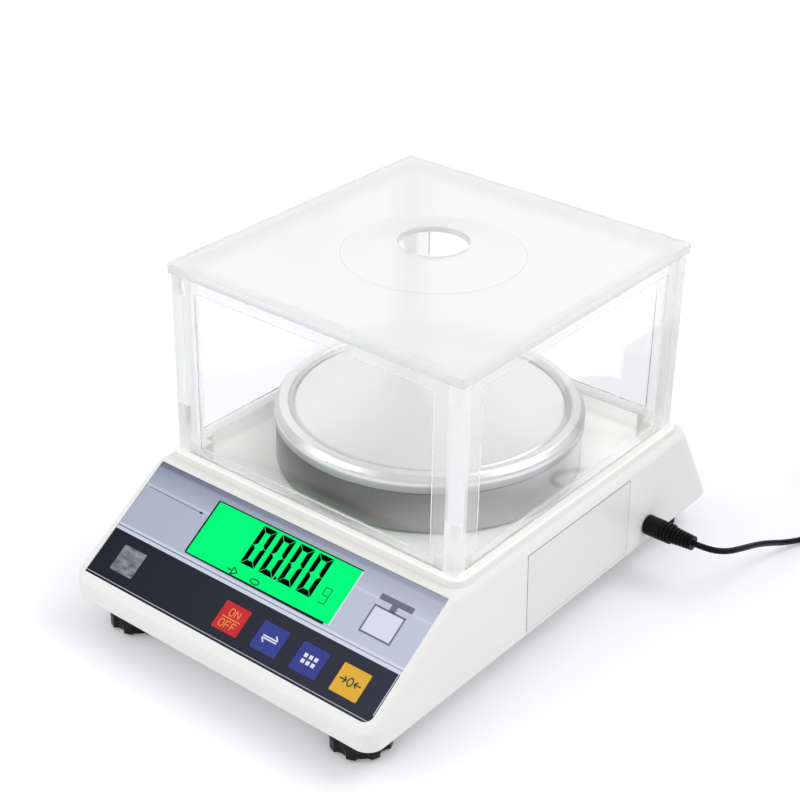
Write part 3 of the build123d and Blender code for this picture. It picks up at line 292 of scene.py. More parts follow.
def drum_material():
    """Spun drum under the pan, with painted shade at its front left and under the pan's lip, painted light
    toward its right and a little at its far left edge, and paler toward its foot.
    """
    made = Shader("drum_grey")
    place = made.axes()
    rightward = made.math("MULTIPLY", place["X"], 0.8)
    backward = made.math("MULTIPLY", place["Y"], 0.5)
    right = made.math("ADD", rightward, backward)
    side = made.math("ADD", made.math("DIVIDE", right, 2 * PAN_RADIUS), 0.5, clamp=True)
    # Painted shade toward the front left and painted light toward the right
    across = made.mix(made.math("POWER", side, 3.0), drum_painted_shade, drum_painted_light)
    left = made.math("SUBTRACT", 1.0, made.math("DIVIDE", side, 0.16, clamp=True))
    across = made.mix(made.math("MULTIPLY", left, 0.2), across, drum_painted_light)
    # Painted shade under the pan's lip, paler toward the foot
    below = made.math("SUBTRACT", PAN_LIP, place["Z"])
    low = made.math("DIVIDE", below, PAN_LIP - TRAY_FLOOR, clamp=True)
    made.set(Base_Color=made.mix(made.math("MULTIPLY", low, 0.55), across, drum_foot), Metallic=1.0)
    made.set(Roughness=made.spread(made.noise(80.0, 3.0, stretch=(1, 1, 12)), 0.28, 0.36))
    return made.material


def shell_material():
    """White housing, with a painted glow on the tray and the plinth's ledge that stands in for the light
    coming through the clear walls.
    """
    made = Shader("white_shell")
    tone = made.noise(35.0, 3.0)
    made.set(Base_Color=made.mix(tone, colour(236, 236, 234), colour(241, 241, 239)))
    made.set(Roughness=made.spread(made.noise(120.0, 2.0), 0.33, 0.43))
    made.bump(made.noise(1400.0, 3.0), 0.10, 0.00006)
    place = made.axes()
    inside = made.math(
        "MULTIPLY",
        made.within(place["X"], -TRAY_HALF_WIDTH, TRAY_HALF_WIDTH, 0.0008),
        made.within(place["Y"], PAN_Y - TRAY_HALF_LENGTH, PAN_Y + TRAY_HALF_LENGTH, 0.0008),
    )
    upright = made.within(place["Z"], TRAY_FLOOR - 0.0004, PLINTH_TOP - 0.0004, 0.0004)
    inside = made.math("MULTIPLY", inside, upright)
    # The painted glow fades toward the front and close to the pan's drum, where shade falls
    behind = made.math("MULTIPLY", made.math("ADD", place["Y"], TRAY_HALF_LENGTH), 12.0, clamp=True)
    past_pan = made.math("SUBTRACT", made.radius(0.0, PAN_Y), PAN_RADIUS)
    outward = made.math("MULTIPLY", past_pan, 40.0, clamp=True)
    outward = made.math("ADD", outward, 0.3, clamp=True)
    painted_glow = made.math("MULTIPLY", made.math("MULTIPLY", inside, behind), outward)
    # A weaker painted glow along the plinth's ledge
    ledge = made.within(place["Z"], PLINTH_TOP - 0.0008, PLINTH_TOP + 0.0008, 0.0003)
    painted_glow = made.math("MAXIMUM", painted_glow, made.math("MULTIPLY", ledge, 0.4))
    made.set(Emission_Color=WHITE, Emission_Strength=made.math("MULTIPLY", painted_glow, TRAY_PAINTED_GLOW))
    return made.material


def film_material():
    """Printed front film: a blue-grey field over a charcoal one, with painted shade along its top edge, a
    painted gleam line, and a painted sheen that makes both fields paler toward the right.
    """
    made = Shader("film_print")
    place = made.axes()
    down_y = made.math("MULTIPLY", made.math("SUBTRACT", place["Y"], film_top.y), -cos(SLOPE))
    down_z = made.math("MULTIPLY", made.math("SUBTRACT", place["Z"], film_top.z), -sin(SLOPE))
    down = made.math("ADD", down_y, down_z)
    across = made.math("DIVIDE", made.math("ADD", place["X"], FILM_HALF), 2 * FILM_HALF, clamp=True)
    field = made.mix(made.math("DIVIDE", down, GLEAM, clamp=True), film_upper, film_lower)
    # Painted shade along the film's top edge
    field = made.mix(made.within(down, -TOP_SHADE, TOP_SHADE, 0.0010), field, film_painted_top_shade)
    # Painted gleam, a highlight line across the film
    field = made.mix(made.within(down, GLEAM - 0.0007, GLEAM + 0.0007, 0.0006), field, film_painted_gleam)
    field = made.mix(made.within(down, GROOVE - 0.0015, DIVIDER, 0.0002), field, film_pale)
    field = made.mix(made.within(down, GROOVE - 0.0003, GROOVE + 0.0003, 0.0001), field, film_groove)
    # Painted sheen, paler toward the right
    field = made.mix(made.math("MULTIPLY", across, 0.3), field, film_painted_sheen)
    # Charcoal field, with a painted sheen toward the right
    foot = made.mix(across, film_charcoal, film_charcoal_painted_sheen)
    foot = made.mix(made.within(down, FOOT_LINE - 0.0002, FOOT_LINE + 0.0002, 0.0001), foot, film_foot_line)
    printed = made.mix(made.math("GREATER_THAN", down, DIVIDER), field, foot)
    speck = made.noise(2200.0, 2.0)
    made.set(Base_Color=made.mix(made.spread(speck, 0.0, 0.06), printed, film_groove))
    made.set(Roughness=made.spread(speck, 0.34, 0.46), Specular_IOR_Level=0.05)
    made.bump(speck, 0.12, 0.00002)
    return made.material


def display_material():
    """Lit display seen through its window."""
    made = Shader("lit_display")
    glow = made.mix(made.spread(made.noise(30.0), 0.0, 0.10), colour(0, 255, 126), colour(0, 250, 136))
    made.set(Base_Color=colour(0, 8, 4), Emission_Color=glow, Emission_Strength=0.98)
    made.set(Roughness=made.spread(made.noise(300.0), 0.10, 0.16), Specular_IOR_Level=0.02)
    return made.material


def clear_material(name, along, window_half, post, centre):
    """Clear moulded wall: a polished window inside a frosted border with whiter corner posts."""
    made = Shader(name)
    place = made.axes()
    across = made.within(place[along], centre - window_half, centre + window_half, 0.0003)
    upright = made.within(place["Z"], WINDOW_LOW, WINDOW_TOP, 0.0003)
    window = made.math("MULTIPLY", across, upright)
    frost = made.math("SUBTRACT", 1.0, window)
    inside = made.within(place[along], centre - post, centre + post, 0.0003)
    clear = made.math("MULTIPLY", inside, made.spread(frost, 1.0, 0.82))
    clear = made.math("ADD", clear, made.math("MULTIPLY", made.math("SUBTRACT", 1.0, inside), 0.40))
    made.set(Base_Color=colour(253, 253, 253), IOR=1.30, Transmission_Weight=clear)
    made.set(Roughness=made.spread(frost, 0.0, 0.07))
    made.let_light_through(0.97)
    return made.material


def milky_material():
    """Lid moulding: clear plastic with a milky haze, a slightly darker border, and painted shade in fine
    lines where its forms meet.
    """
    made = Shader("milky_lid")
    place = made.axes()
    radius = made.radius(0.0, PAN_Y)
    # Painted shade in fine lines round the foot of the dome and round its hole
    lines = made.within(radius, DOME_RADIUS - 0.0004, DOME_RADIUS + 0.0001, 0.00015)
    lines = made.math("MAXIMUM", lines, made.within(radius, 0.0, DOME_HOLE + 0.0007, 0.0002))
    across = made.within(place["X"], -LID_LINE_X, LID_LINE_X, 0.0002)
    along = made.within(place["Y"], PAN_Y - LID_LINE_Y, PAN_Y + LID_LINE_Y, 0.0002)
    rim = made.math("SUBTRACT", 1.0, made.math("MULTIPLY", across, along))
    haze = made.noise(14.0, 3.0)
    shade = made.mix(rim, colour(248, 248, 248), colour(245, 246, 246))
    shade = made.mix(made.math("MULTIPLY", lines, 0.4), shade, colour(200, 201, 202))
    made.set(Base_Color=shade, IOR=1.34)
    made.set(Transmission_Weight=made.spread(haze, 0.56, 0.64), Roughness=made.spread(haze, 0.10, 0.15))
    made.let_light_through(0.93)
    return made.material


def board_material():
    """Circuit board: solder mask with the tracks under it."""
    made = Shader("solder_mask")
    tracks = made.add("ShaderNodeTexVoronoi", feature="DISTANCE_TO_EDGE")
    tracks.inputs["Scale"].default_value = 450.0
    made.link(made.place, tracks.inputs["Vector"])
    edge = made.math("LESS_THAN", tracks.outputs["Distance"], 0.09)
    made.set(Base_Color=made.mix(edge, colour(20, 92, 48), colour(40, 128, 70)), Roughness=0.3)
    made.bump(edge, 0.2, 0.00004)
    return made.material


def badge_material():
    """Bare polished plate with soft cloudy reflections."""
    made = Shader("badge_plate")
    cloud = made.noise(260.0, 3.0, stretch=(1, 2, 2))
    made.set(Base_Color=made.mix(made.spread(cloud, -0.4, 1.4), colour(58, 58, 70), colour(140, 140, 152)))
    made.set(Metallic=0.7, Roughness=made.spread(cloud, 0.22, 0.38))
    made.bump(cloud, 0.2, 0.00005)
    return made.material


def dress(material, *names):
    """Gives CAD nodes their material."""
    for name in names:
        slots = nodes[name].data.materials
        slots.clear()
        slots.append(material)


def smooth(obj, angle=30):
    """Smooth shading that keeps edges sharper than an angle."""
    for face in obj.data.polygons:
        face.use_smooth = True
    edges = bmesh.new()
    edges.from_mesh(obj.data)
    for edge in edges.edges:
        edge.smooth = len(edge.link_faces) == 2 and edge.calc_face_angle(0.0) < radians(angle)
    edges.to_mesh(obj.data)
    edges.free()


def mesh_piece(name, points, faces, material, body):
    """A new piece from points and faces, riding on a body."""
    data = bpy.data.meshes.new(name)
    data.from_pydata([tuple(point) for point in points], [], faces)
    data.validate()
    data.materials.append(material)
    piece = bpy.data.objects.new(name, data)
    bpy.context.scene.collection.objects.link(piece)
    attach(piece, body)
    return piece


def on_film(x, down, lift=MARK_LIFT):
    """Point over the front film, at x, a distance down it and a height over its face."""
    return film_top + Vector((x, 0, 0)) + film_down * down + film_out * lift


def shapes_on_film(name, outlines, material, body, lift=MARK_LIFT, thickness=0.00002):
    """Flat shapes over the front film, for its print and for painted shade and highlights: each outline is
    a list of (x, down) points.
    """
    points = []
    faces = []
    for outline in outlines:
        first = len(points)
        count = len(outline)
        area = sum(x1 * y2 - x2 * y1 for (x1, y1), (x2, y2) in zip(outline, outline[1:] + outline[:1]))
        ordered = outline if area < 0 else outline[::-1]
        points += [on_film(x, down, lift) for x, down in ordered]
        points += [on_film(x, down, lift - thickness) for x, down in ordered]
        faces.append([first + i for i in range(count)])
        faces.append([first + count + i for i in reversed(range(count))])
        for i in range(count):
            j = (i + 1) % count
            faces.append([first + i, first + count + i, first + count + j, first + j])
    return mesh_piece(name, points, faces, material, body)


def bar(x1, t1, x2, t2, width):
    """Outline of a straight bar between two film points."""
    along = Vector((x2 - x1, t2 - t1)).normalized()
    side = Vector((-along.y, along.x)) * (width / 2)
    return [
        (x1 + side.x, t1 + side.y),
        (x2 + side.x, t2 + side.y),
        (x2 - side.x, t2 - side.y),
        (x1 - side.x, t1 - side.y),
    ]


def rectangle(x, t, width, length):
    """Outline of an upright rectangle round a film point."""
    return [
        (x - width / 2, t - length / 2),
        (x + width / 2, t - length / 2),
        (x + width / 2, t + length / 2),
        (x - width / 2, t + length / 2),
    ]


def ring(x, t, width, length, line, steps=20, start=0.0, turn=2 * pi):
    """Outlines of the quads that make a ring, or a part of one, round a film point."""
    quads = []
    for i in range(steps):
        first = start + turn * i / steps
        second = start + turn * (i + 1) / steps
        quads.append([
            (x + cos(first) * width / 2, t + sin(first) * length / 2),
            (x + cos(second) * width / 2, t + sin(second) * length / 2),
            (x + cos(second) * (width / 2 - line), t + sin(second) * (length / 2 - line)),
            (x + cos(first) * (width / 2 - line), t + sin(first) * (length / 2 - line)),
        ])
    return quads


def frame_lines(x, t, width, length, line):
    """Outlines of the four bars of a rectangular frame."""
    return [
        rectangle(x, t - length / 2, width + line, line),
        rectangle(x, t + length / 2, width + line, line),
        rectangle(x - width / 2, t, line, length - line),
        rectangle(x + width / 2, t, line, length - line),
    ]


# Where the film's face is, from its box
film_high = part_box("front_film")[1]
film_down = Vector((0, -cos(SLOPE), -sin(SLOPE)))
film_out = Vector((0, -sin(SLOPE), cos(SLOPE)))
film_top = Vector((0, film_high.y - FILM_THICKNESS * sin(SLOPE), film_high.z))


# Camera first, then the cord, because the cord has to stay out of its view
def make_camera():
    """Camera of the photograph, with its small roll."""
    data = bpy.data.cameras.new("camera")
    data.sensor_fit = "HORIZONTAL"
    data.sensor_width = SENSOR
    data.lens = LENS
    data.clip_start = 0.01
    data.clip_end = 50.0
    camera = bpy.data.objects.new("camera", data)
    bpy.context.scene.collection.objects.link(camera)
    ahead = (CAMERA_TARGET - CAMERA_PLACE).normalized()
    level = ahead.cross(Vector((0, 0, 1))).normalized()
    above = level.cross(ahead)
    right = level * cos(CAMERA_ROLL) + above * sin(CAMERA_ROLL)
    up = right.cross(ahead)
    axes = Matrix((right, up, -ahead)).transposed().to_4x4()
    camera.matrix_world = Matrix.Translation(CAMERA_PLACE) @ axes
    bpy.context.scene.camera = camera


def coil_points():
    """Control points of the coil's half turns, layer by layer, and its end point."""
    outer = COIL_MIDDLE_RADIUS + COIL_HALF_TURNS * COIL_PITCH / 4
    centre = COIL_START + Vector((outer, 0, 0))
    stops = [COIL_START]
    radius = outer
    height = 0.0
    side = -1
    for layer in range(COIL_LAYERS):
        step = -COIL_PITCH / 2 if layer % 2 == 0 else COIL_PITCH / 2
        for _ in range(COIL_HALF_TURNS):
            radius += step
            side = -side
            stops.append(centre + Vector((side * radius, 0, height)))
        side = -side
        if layer < COIL_LAYERS - 1:
            height += COIL_RISE
        else:
            radius += step
        stops.append(centre + Vector((side * radius, 0, height)))
    points = []
    forward = 1
    pieces = 6
    for start, end in zip(stops, stops[1:]):
        middle = (start + end) / 2
        half = (end - start) / 2
        reach = half.length / cos(pi / (2 * pieces))
        for i in range(pieces):
            angle = pi * (i + 0.5) / pieces
            flat = half.normalized() * (-cos(angle) * reach)
            points.append(middle + flat + Vector((0, forward * sin(angle) * reach, 0)))
        forward = -forward
    return points, stops[-1]


def make_cord(material):
    """The whole free cord as one smooth curve, from the plug to the adapter."""
    plug_low, plug_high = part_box("cord_plug")
    leave = Vector((plug_high.x, (plug_low.y + plug_high.y) / 2, (plug_low.z + plug_high.z) / 2))
    turns, coil_end = coil_points()
    route = [leave, leave + Vector((0.0079, 0, 0))] + [Vector(point) for point in CORD_ROUTE]
    route += [COIL_START - Vector((0, 0.003, 0))] + turns
    route += [coil_end + Vector((0, 0.003, 0)), coil_end + Vector((0, COIL_TAIL, 0))]
    data = bpy.data.curves.new("free_cord", "CURVE")
    data.dimensions = "3D"
    data.bevel_depth = CORD_DIAMETER / 2
    data.bevel_resolution = 4
    data.resolution_u = 8
    spline = data.splines.new("NURBS")
    spline.points.add(len(route) - 1)
    for point, place in zip(spline.points, route):
        point.co = (*place, 1.0)
    spline.order_u = 3
    spline.use_endpoint_u = True
    data.materials.append(material)
    cord = bpy.data.objects.new("free_cord", data)
    bpy.context.scene.collection.objects.link(cord)
    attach(cord, "base")
    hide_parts("power_cord", "cord_coil")


def make_floor():
    """Pale floor that is white to the camera and keeps the object's shadow."""
    data = bpy.data.meshes.new("floor")
    reach = 6.0
    corners = [(-reach, -reach, 0), (reach, -reach, 0), (reach, reach, 0), (-reach, reach, 0)]
    data.from_pydata(corners, [], [(0, 1, 2, 3)])
    floor = bpy.data.objects.new("floor", data)
    bpy.context.scene.collection.objects.link(floor)
    made = Shader("floor_white")
    paths = made.add("ShaderNodeLightPath")
    seen = made.math("MAXIMUM", paths.outputs["Is Camera Ray"], paths.outputs["Is Glossy Ray"])
    seen = made.math("MAXIMUM", seen, paths.outputs["Is Transmission Ray"])
    made.set(Base_Color=colour(246, 246, 250), Roughness=0.9, Specular_IOR_Level=0.0)
    made.set(Emission_Color=WHITE, Emission_Strength=made.math("MULTIPLY", seen, FLOOR_GLOW))
    data.materials.append(made.material)


def make_world():
    """Even white surroundings, white to the camera and in reflections."""
    world = bpy.data.worlds.new("studio")
    bpy.context.scene.world = world
    world.use_nodes = True
    tree = world.node_tree
    background = tree.nodes["Background"]
    background.inputs["Color"].default_value = WHITE
    paths = tree.nodes.new("ShaderNodeLightPath")
    first = tree.nodes.new("ShaderNodeMath")
    first.operation = "MAXIMUM"
    tree.links.new(paths.outputs["Is Camera Ray"], first.inputs[0])
    tree.links.new(paths.outputs["Is Transmission Ray"], first.inputs[1])
    second = tree.nodes.new("ShaderNodeMath")
    second.operation = "MAXIMUM"
    tree.links.new(first.outputs[0], second.inputs[0])
    tree.links.new(paths.outputs["Is Glossy Ray"], second.inputs[1])
    strength = tree.nodes.new("ShaderNodeMapRange")
    strength.inputs["To Min"].default_value = AMBIENT
    strength.inputs["To Max"].default_value = 1.0
    tree.links.new(second.outputs[0], strength.inputs["Value"])
    tree.links.new(strength.outputs[0], background.inputs["Strength"])


def make_lamp(name, place, target, size, power):
    """Large soft area lamp."""
    data = bpy.data.lights.new(name, "AREA")
    data.shape = "DISK"
    data.size = size
    data.energy = power
    lamp = bpy.data.objects.new(name, data)
    bpy.context.scene.collection.objects.link(lamp)
    lamp.location = place
    lamp.rotation_euler = (Vector(target) - Vector(place)).to_track_quat("-Z", "Y").to_euler()


def mirrored(outline, across, down):
    """Outline turned over sideways, or upside down, or both."""
    return [(x * across, t * down) for x, t in outline]


def digit_nought(x, t, width, length, line, gap):
    """Outlines of the six lit bars of a nought whose middle is at x, t."""
    half_w = width / 2
    half_l = length / 2
    top = [
        (gap - half_w, -half_l),
        (half_w - gap, -half_l),
        (half_w - gap - line, line - half_l),
        (gap - half_w + line, line - half_l),
    ]
    side = [
        (half_w, gap - half_l),
        (half_w, -gap),
        (half_w - line / 2, -gap / 2),
        (half_w - line, -gap - line / 2),
        (half_w - line, gap + line - half_l),
    ]
    outlines = [mirrored(top, 1, down) for down in (-1, 1)]
    outlines += [mirrored(side, across, down) for across in (-1, 1) for down in (-1, 1)]
    return [[(x + across, t + down) for across, down in outline] for outline in outlines]


def strokes(x, t, width, length, line, *paths):
    """Outlines of straight strokes: each path is a list of places from -1 to 1 in a box."""
    outlines = []
    for path in paths:
        places = [(x + across * width / 2, t + down * length / 2) for across, down in path]
        outlines += [bar(*start, *end, line) for start, end in zip(places, places[1:])]
    return outlines


# Tones of the print and of the steel, one for each field, line or form, with the painted shade, gleam and
# sheen of the film and the painted shade and highlights of the pan and the drum
film_upper = colour(136, 144, 166)
film_lower = colour(176, 184, 204)
# Painted shade for the film's top edge, then its painted gleam
film_painted_top_shade = colour(112, 118, 140)
film_painted_gleam = colour(196, 202, 220)
film_pale = colour(208, 213, 231)
film_groove = colour(104, 110, 136)
# Painted sheen for the blue-grey field
film_painted_sheen = colour(236, 240, 252)
film_charcoal = colour(26, 28, 36)
# Charcoal with a painted sheen, for the right of the charcoal field
film_charcoal_painted_sheen = colour(50, 52, 64)
film_foot_line = colour(190, 194, 202)
# Steel: the pan face's own tone, which is also its painted highlight, then tones of painted shade
steel_face_and_highlight = colour(250, 250, 249)
steel_painted_dim = colour(218, 218, 218)
steel_painted_shade = colour(180, 180, 181)
# Drum: tones of painted shade and painted light, and a paler tone for its foot
drum_painted_shade = colour(84, 84, 85)
drum_painted_light = colour(218, 218, 219)
drum_foot = colour(196, 196, 197)

# Shared materials
white_shell = shell_material()
white_clip = moulded("white_clip", colour(240, 240, 238), 0.38, grain=1400, strength=0.10, variation=0.01)
white_cover = moulded("white_cover", colour(234, 234, 231), 0.5, grain=900, strength=0.3)
black_plastic = moulded("black_plastic", colour(26, 26, 28), 0.42, variation=0.12)
black_foot = moulded("black_foot", colour(9, 9, 10), 0.34, variation=0.15, Specular_IOR_Level=0.25)
black_cord = moulded("black_cord", colour(8, 8, 9), 0.40, grain=700, variation=0.1, Specular_IOR_Level=0.14)
rubber = moulded("soft_rubber", colour(30, 30, 30), 0.75, strength=0.4)
zinc = metal("zinc_steel", colour(190, 190, 192), 0.32)
brass = metal("turned_brass", colour(205, 172, 104), 0.3)
aluminium = metal("machined_aluminium", colour(205, 206, 208), 0.33, scratch=(1, 30, 1))
cast = metal("cast_aluminium", colour(186, 187, 190), 0.45, scratch=(3, 3, 3), depth=0.00006)
nickel = metal("nickel", colour(214, 210, 200), 0.18)
green_board = board_material()
milk = moulded("milky_diffuser", colour(226, 240, 232), 0.3)
label_film = moulded("label_film", colour(233, 233, 232), 0.35, grain=2000, strength=0.06, variation=0.01)
ink_dark = moulded("dark_ink", colour(14, 20, 18), 0.4, variation=0.05)
ink_black = moulded("black_ink", colour(4, 10, 6), 0.5, variation=0.05, Specular_IOR_Level=0.0)
# Paint for the shade along the display opening's left and lower edges
opening_painted_shade = moulded("opening_shade_paint", colour(22, 26, 34), 0.5, variation=0.05, Specular_IOR_Level=0.1)
ink_sign = moulded("sign_ink", colour(2, 84, 34), 0.5, variation=0.05, Specular_IOR_Level=0.1)
# Paint for the dark shade along the label's top and front edges
label_painted_shade = moulded("label_shade_paint", colour(56, 56, 58), 0.5, variation=0.05)
# Paint for the faint shade along the label's rear and foot edges
label_painted_faint_shade = moulded("label_faint_shade_paint", colour(214, 215, 217), 0.5, variation=0.03)
ink_faint = moulded("faint_ink", colour(4, 128, 62), 0.4, variation=0.05, Specular_IOR_Level=0.1)
ink_grey = moulded("grey_ink", colour(98, 102, 120), 0.4, variation=0.05)
# White ink of the key signs and the film's edge, also the paint of the highlight along the display
# opening's right edge
white_print_and_highlight = moulded("white_print_and_painted_highlight", colour(222, 226, 240), 0.4, variation=0.03)
ink_orange = moulded("orange_ink", colour(236, 158, 62), 0.4, variation=0.03)
ink_pale = moulded("pale_field", colour(214, 220, 238), 0.4, variation=0.02)
key_finish = {"roughness": 0.32, "grain": 2200, "strength": 0.12, "Specular_IOR_Level": 0.2}
key_red = moulded("key_red", colour(198, 30, 38), variation=0.06, **key_finish)
key_blue = moulded("key_blue", colour(46, 56, 140), variation=0.08, **key_finish)
key_yellow = moulded("key_yellow", colour(224, 172, 52), variation=0.05, **key_finish)

dress(white_shell, "upper_housing")
dress(white_clip, "shield_locators")
dress(white_cover, "bottom_cover")
dress(black_plastic, "display_frame", "key_switches", "power_inlet", "power_adapter")
dress(black_cord, "cord_plug")
dress(zinc, "cover_screws", "board_screws", "cell_bolts", "overload_stop", "drum_screw")
dress(brass, "foot_inserts")
dress(aluminium, "load_cell", "cell_spacer")
dress(cast, "pan_carrier")
dress(nickel, "plug_sleeve", "adapter_blades")
dress(green_board, "display_board", "keypad_board", "main_board")
dress(milk, "display_backlight")
dress(label_film, "rating_label")
dress(drum_material(), "pan_drum")
dress(pan_material(), "weighing_pan")
dress(rubber, "pan_pads")
dress(key_red, "key_on_off")
dress(key_blue, "key_mode", "key_count")
dress(key_yellow, "key_tare")
dress(badge_material(), "badge")
dress(film_material(), "front_film")
dress(display_material(), "display_window", "display_glass")
front_walls = clear_material("clear_front_walls", "X", FRONT_WINDOW_HALF, FRONT_POST_HALF, 0.0)
side_walls = clear_material("clear_side_walls", "Y", SIDE_WINDOW_HALF, SIDE_POST_HALF, PAN_Y)
dress(front_walls, "shield_front", "shield_rear")
dress(side_walls, "shield_left", "shield_right")
dress(milky_material(), "shield_lid")
for corner in ("front_left", "front_right", "rear_left", "rear_right"):
    dress(zinc, "foot_stud_" + corner)
    dress(black_foot, "foot_knob_" + corner)
for node in nodes.values():
    smooth(node)

bpy.context.scene.view_settings.view_transform = "Standard"
make_camera()
make_cord(black_cord)
make_world()
make_floor()
make_lamp("key_light", (1.1, 0.9, 2.0), (0, 0, 0.05), 1.5, 16)
make_lamp("fill_light", (-1.2, -1.7, 1.4), (0, 0, 0.05), 2.0, 12)

# Display: four digits, the unit mark and two small signs, on the display window
digit_lift = MARK_LIFT - FILM_THICKNESS
DIGIT_FIRST_X = -0.0105
DIGIT_PITCH = 0.0102
DIGIT_T = 0.0149
DIGIT_WIDTH = 0.0077
DIGIT_LENGTH = 0.0184
DIGIT_LINE = 0.0024
DIGIT_GAP = 0.00016
digits = []
for i in range(4):
    digit_x = DIGIT_FIRST_X + i * DIGIT_PITCH
    digits += digit_nought(digit_x, DIGIT_T, DIGIT_WIDTH, DIGIT_LENGTH, DIGIT_LINE, DIGIT_GAP)
digits.append(rectangle(0.0048, 0.0234, 0.0013, 0.0014))
shapes_on_film("display_digits", digits, ink_black, "base", lift=digit_lift)
unit = strokes(
    0.0297, 0.0206, 0.0032, 0.0068, 0.00045,
    [(-1, 1), (1, 1), (1, -1), (-1, -1), (-1, 0), (1, 0)],
)
shapes_on_film("display_unit", unit, ink_faint, "base", lift=digit_lift)
DISPLAY_SIGN_T = 0.0286
signs = ring(-0.0026, DISPLAY_SIGN_T, 0.0052, 0.0026, 0.00055)
signs += strokes(
    -0.0152, DISPLAY_SIGN_T, 0.0056, 0.0034, 0.0006,
    [(-1, 0), (0, 0)],
    [(0, -1), (1, 0), (0, 1), (0, -1)],
)
shapes_on_film("display_signs", signs, ink_sign, "base", lift=digit_lift)

# Painted shade along the left and lower edges of the display opening, and a painted highlight along its
# right edge
opening_left = DISPLAY_X - DISPLAY_WIDTH / 2
opening_right = DISPLAY_X + DISPLAY_WIDTH / 2
opening_top = DISPLAY_T - DISPLAY_LENGTH / 2
opening_foot = DISPLAY_T + DISPLAY_LENGTH / 2
edges = [
    bar(opening_left, opening_top, opening_left, opening_foot, 0.0009),
    bar(opening_left, opening_top, opening_right, opening_top, 0.00055),
    [
        (opening_left, opening_foot - 0.0001),
        (opening_left, opening_foot + 0.0005),
        (opening_right - 0.0026, opening_foot + 0.0009),
        (opening_right - 0.0026, opening_foot - 0.0003),
    ],
]
shapes_on_film("opening_edge", edges, opening_painted_shade, "base")
# Painted highlight along the opening's right edge
opening_highlight = [bar(opening_right, opening_top, opening_right, opening_foot, 0.0007)]
shapes_on_film("opening_edge_right", opening_highlight, white_print_and_highlight, "base")

# Print on the film: the scale sign and the fine line with its dot
SIGN_FIELD = (0.0594, 0.0207, 0.0150, 0.0118)
SIGN_POST_X = 0.0600
SIGN_LINE = 0.0008
shapes_on_film("scale_sign_field", [rectangle(*SIGN_FIELD)], ink_pale, "base", lift=MARK_LIFT / 2)
shapes_on_film("scale_sign_pan", [rectangle(SIGN_POST_X, 0.0106, 0.0165, 0.0026)], ink_grey, "base")
sign = [bar(SIGN_POST_X, 0.0118, SIGN_POST_X, 0.0150, 0.0030)]
sign += frame_lines(*SIGN_FIELD, SIGN_LINE)
shapes_on_film("scale_sign_frame", sign, ink_grey, "base")
DOT_T = 0.0129
line = [bar(-0.0764, 0.0125, -0.0446, DOT_T, 0.00022)]
dot_angles = [i * pi / 8 for i in range(16)]
line.append([(-0.0452 + 0.0010 * cos(angle), DOT_T + 0.0005 * sin(angle)) for angle in dot_angles])
shapes_on_film("film_line", line, ink_dark, "base")

# Pale edge of the film at the right of its charcoal field
edge_x = FILM_HALF - 0.0007
right_edge = [bar(edge_x, DIVIDER, edge_x, FILM_LENGTH - 0.0042, 0.0003)]
shapes_on_film("film_edge_line", right_edge, white_print_and_highlight, "base")

# Print on the keys: the switch's two words, and plain signs on the others
KEY_FIRST_X = -0.00155
KEY_PITCH = 0.021
KEY_T = 0.0464
KEY_SIGN_LINE = 0.0006
O_RIGHT = [(-0.5, -1), (0.5, -1), (1, -0.5), (1, 0.5), (0.5, 1)]
O_PATH = O_RIGHT + [(-0.5, 1), (-1, 0.5), (-1, -0.5), (-0.5, -1)]
N_PATH = [(-1, 1), (-1, -1), (1, 1), (1, -1)]
F_PATHS = [(-1, 1), (-1, -1), (1, -1)], [(-1, 0), (0.7, 0)]
LETTER = (0.0022, 0.0031, 0.00036)
on_off_x = KEY_FIRST_X
words = strokes(on_off_x - 0.0014, KEY_T - 0.0024, *LETTER, O_PATH)
words += strokes(on_off_x + 0.0017, KEY_T - 0.0024, *LETTER, N_PATH)
words.append(bar(on_off_x - 0.0048, KEY_T + 0.0003, on_off_x + 0.0048, KEY_T + 0.0003, 0.0004))
words += strokes(on_off_x - 0.0032, KEY_T + 0.0030, *LETTER, O_PATH)
words += strokes(on_off_x, KEY_T + 0.0030, *LETTER, *F_PATHS)
words += strokes(on_off_x + 0.0031, KEY_T + 0.0030, *LETTER, *F_PATHS)
shapes_on_film("key_on_off_words", words, ink_orange, "key_on_off_cap")
mode_x = KEY_FIRST_X + KEY_PITCH
ARROW = (0.0076, 0.0018, KEY_SIGN_LINE)
arrows = strokes(mode_x, KEY_T - 0.0014, *ARROW, [(-1, 1), (1, 1), (0.55, -1)])
arrows += strokes(mode_x, KEY_T + 0.0014, *ARROW, [(1, -1), (-1, -1), (-0.55, 1)])
shapes_on_film("key_mode_sign", arrows, white_print_and_highlight, "key_mode_cap")
count_x = KEY_FIRST_X + 2 * KEY_PITCH
PIECE_PITCH = 0.0026
PIECE_SIZE = 0.0017
pieces = []
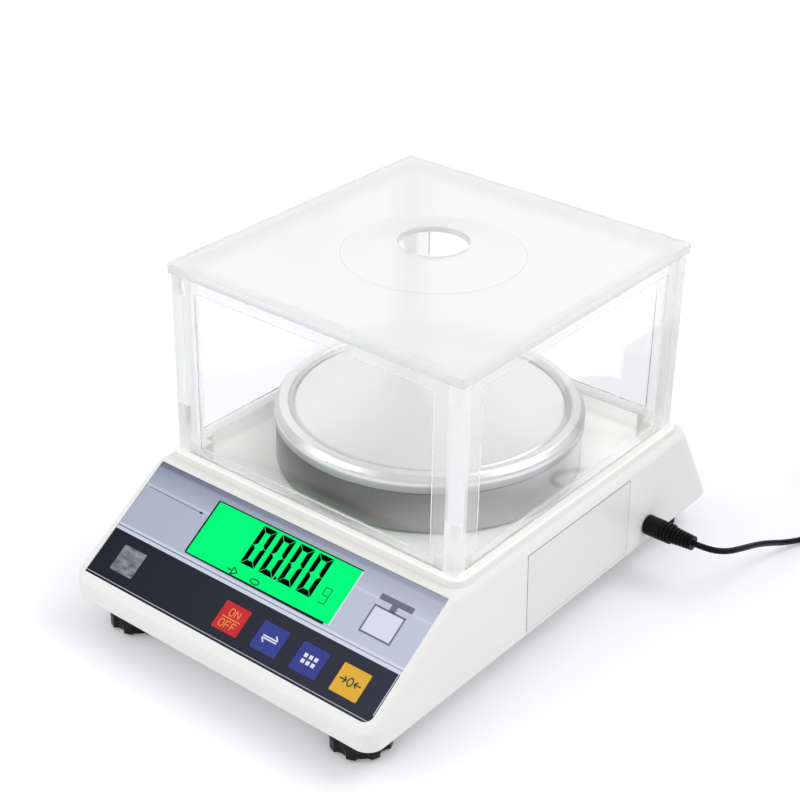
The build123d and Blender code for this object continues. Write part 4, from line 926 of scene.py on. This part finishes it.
for i in (-1, 0, 1):
    for j in (-0.5, 0.5):
        piece_x = count_x + i * PIECE_PITCH
        pieces.append(rectangle(piece_x, KEY_T + j * PIECE_PITCH, PIECE_SIZE, PIECE_SIZE))
shapes_on_film("key_count_sign", pieces, white_print_and_highlight, "key_count_cap")
tare_x = KEY_FIRST_X + 3 * KEY_PITCH
tare = ring(tare_x, KEY_T, 0.0030, 0.0040, KEY_SIGN_LINE)
for side in (-1, 1):
    tare += strokes(
        tare_x + side * 0.0036, KEY_T, side * 0.0032, 0.0026, KEY_SIGN_LINE,
        [(1, 0), (-1, 0)],
        [(-0.2, -1), (-1, 0), (-0.2, 1)],
    )
shapes_on_film("key_tare_sign", tare, ink_dark, "key_tare_cap")

# Rating label: only thin lines of painted shade along its border, dark at the top and front and faint at
# the rear and foot
label_out = Vector((cos(WALL_DRAFT), 0, sin(WALL_DRAFT)))
label_up = Vector((-sin(WALL_DRAFT), 0, cos(WALL_DRAFT)))
label_face = LABEL_MIDDLE - label_out * 0.0001


def on_label(along, up, lift):
    """Point over the rating label, a distance along the wall, up it and out from its face."""
    return label_face + Vector((0, along, 0)) + label_up * up + label_out * lift


def label_bar(name, along, up, length, height, material):
    """Thin bar of painted shade on the rating label, round a point on it."""
    corners = rectangle(0, 0, length, height)
    points = [on_label(along + a, up + b, lift) for lift in (MARK_LIFT, 0.00001) for a, b in corners]
    sides = [(i, i + 4, (i + 1) % 4 + 4, (i + 1) % 4) for i in range(4)]
    mesh_piece(name, points, [(0, 1, 2, 3), (7, 6, 5, 4)] + sides, material, "base")


LABEL_LINE = 0.0003
label_edge_x = LABEL_LENGTH / 2 - 0.0004
label_edge_y = LABEL_HEIGHT / 2 - 0.0004
label_bar("label_line_top", 0, label_edge_y, 2 * label_edge_x, LABEL_LINE, label_painted_shade)
label_bar("label_line_front", -label_edge_x, 0, LABEL_LINE, 2 * label_edge_y, label_painted_shade)
label_bar("label_line_rear", label_edge_x, 0, LABEL_LINE, 2 * label_edge_y, label_painted_faint_shade)
label_bar("label_line_foot", 0, -label_edge_y, 2 * label_edge_x, LABEL_LINE, label_painted_faint_shade)
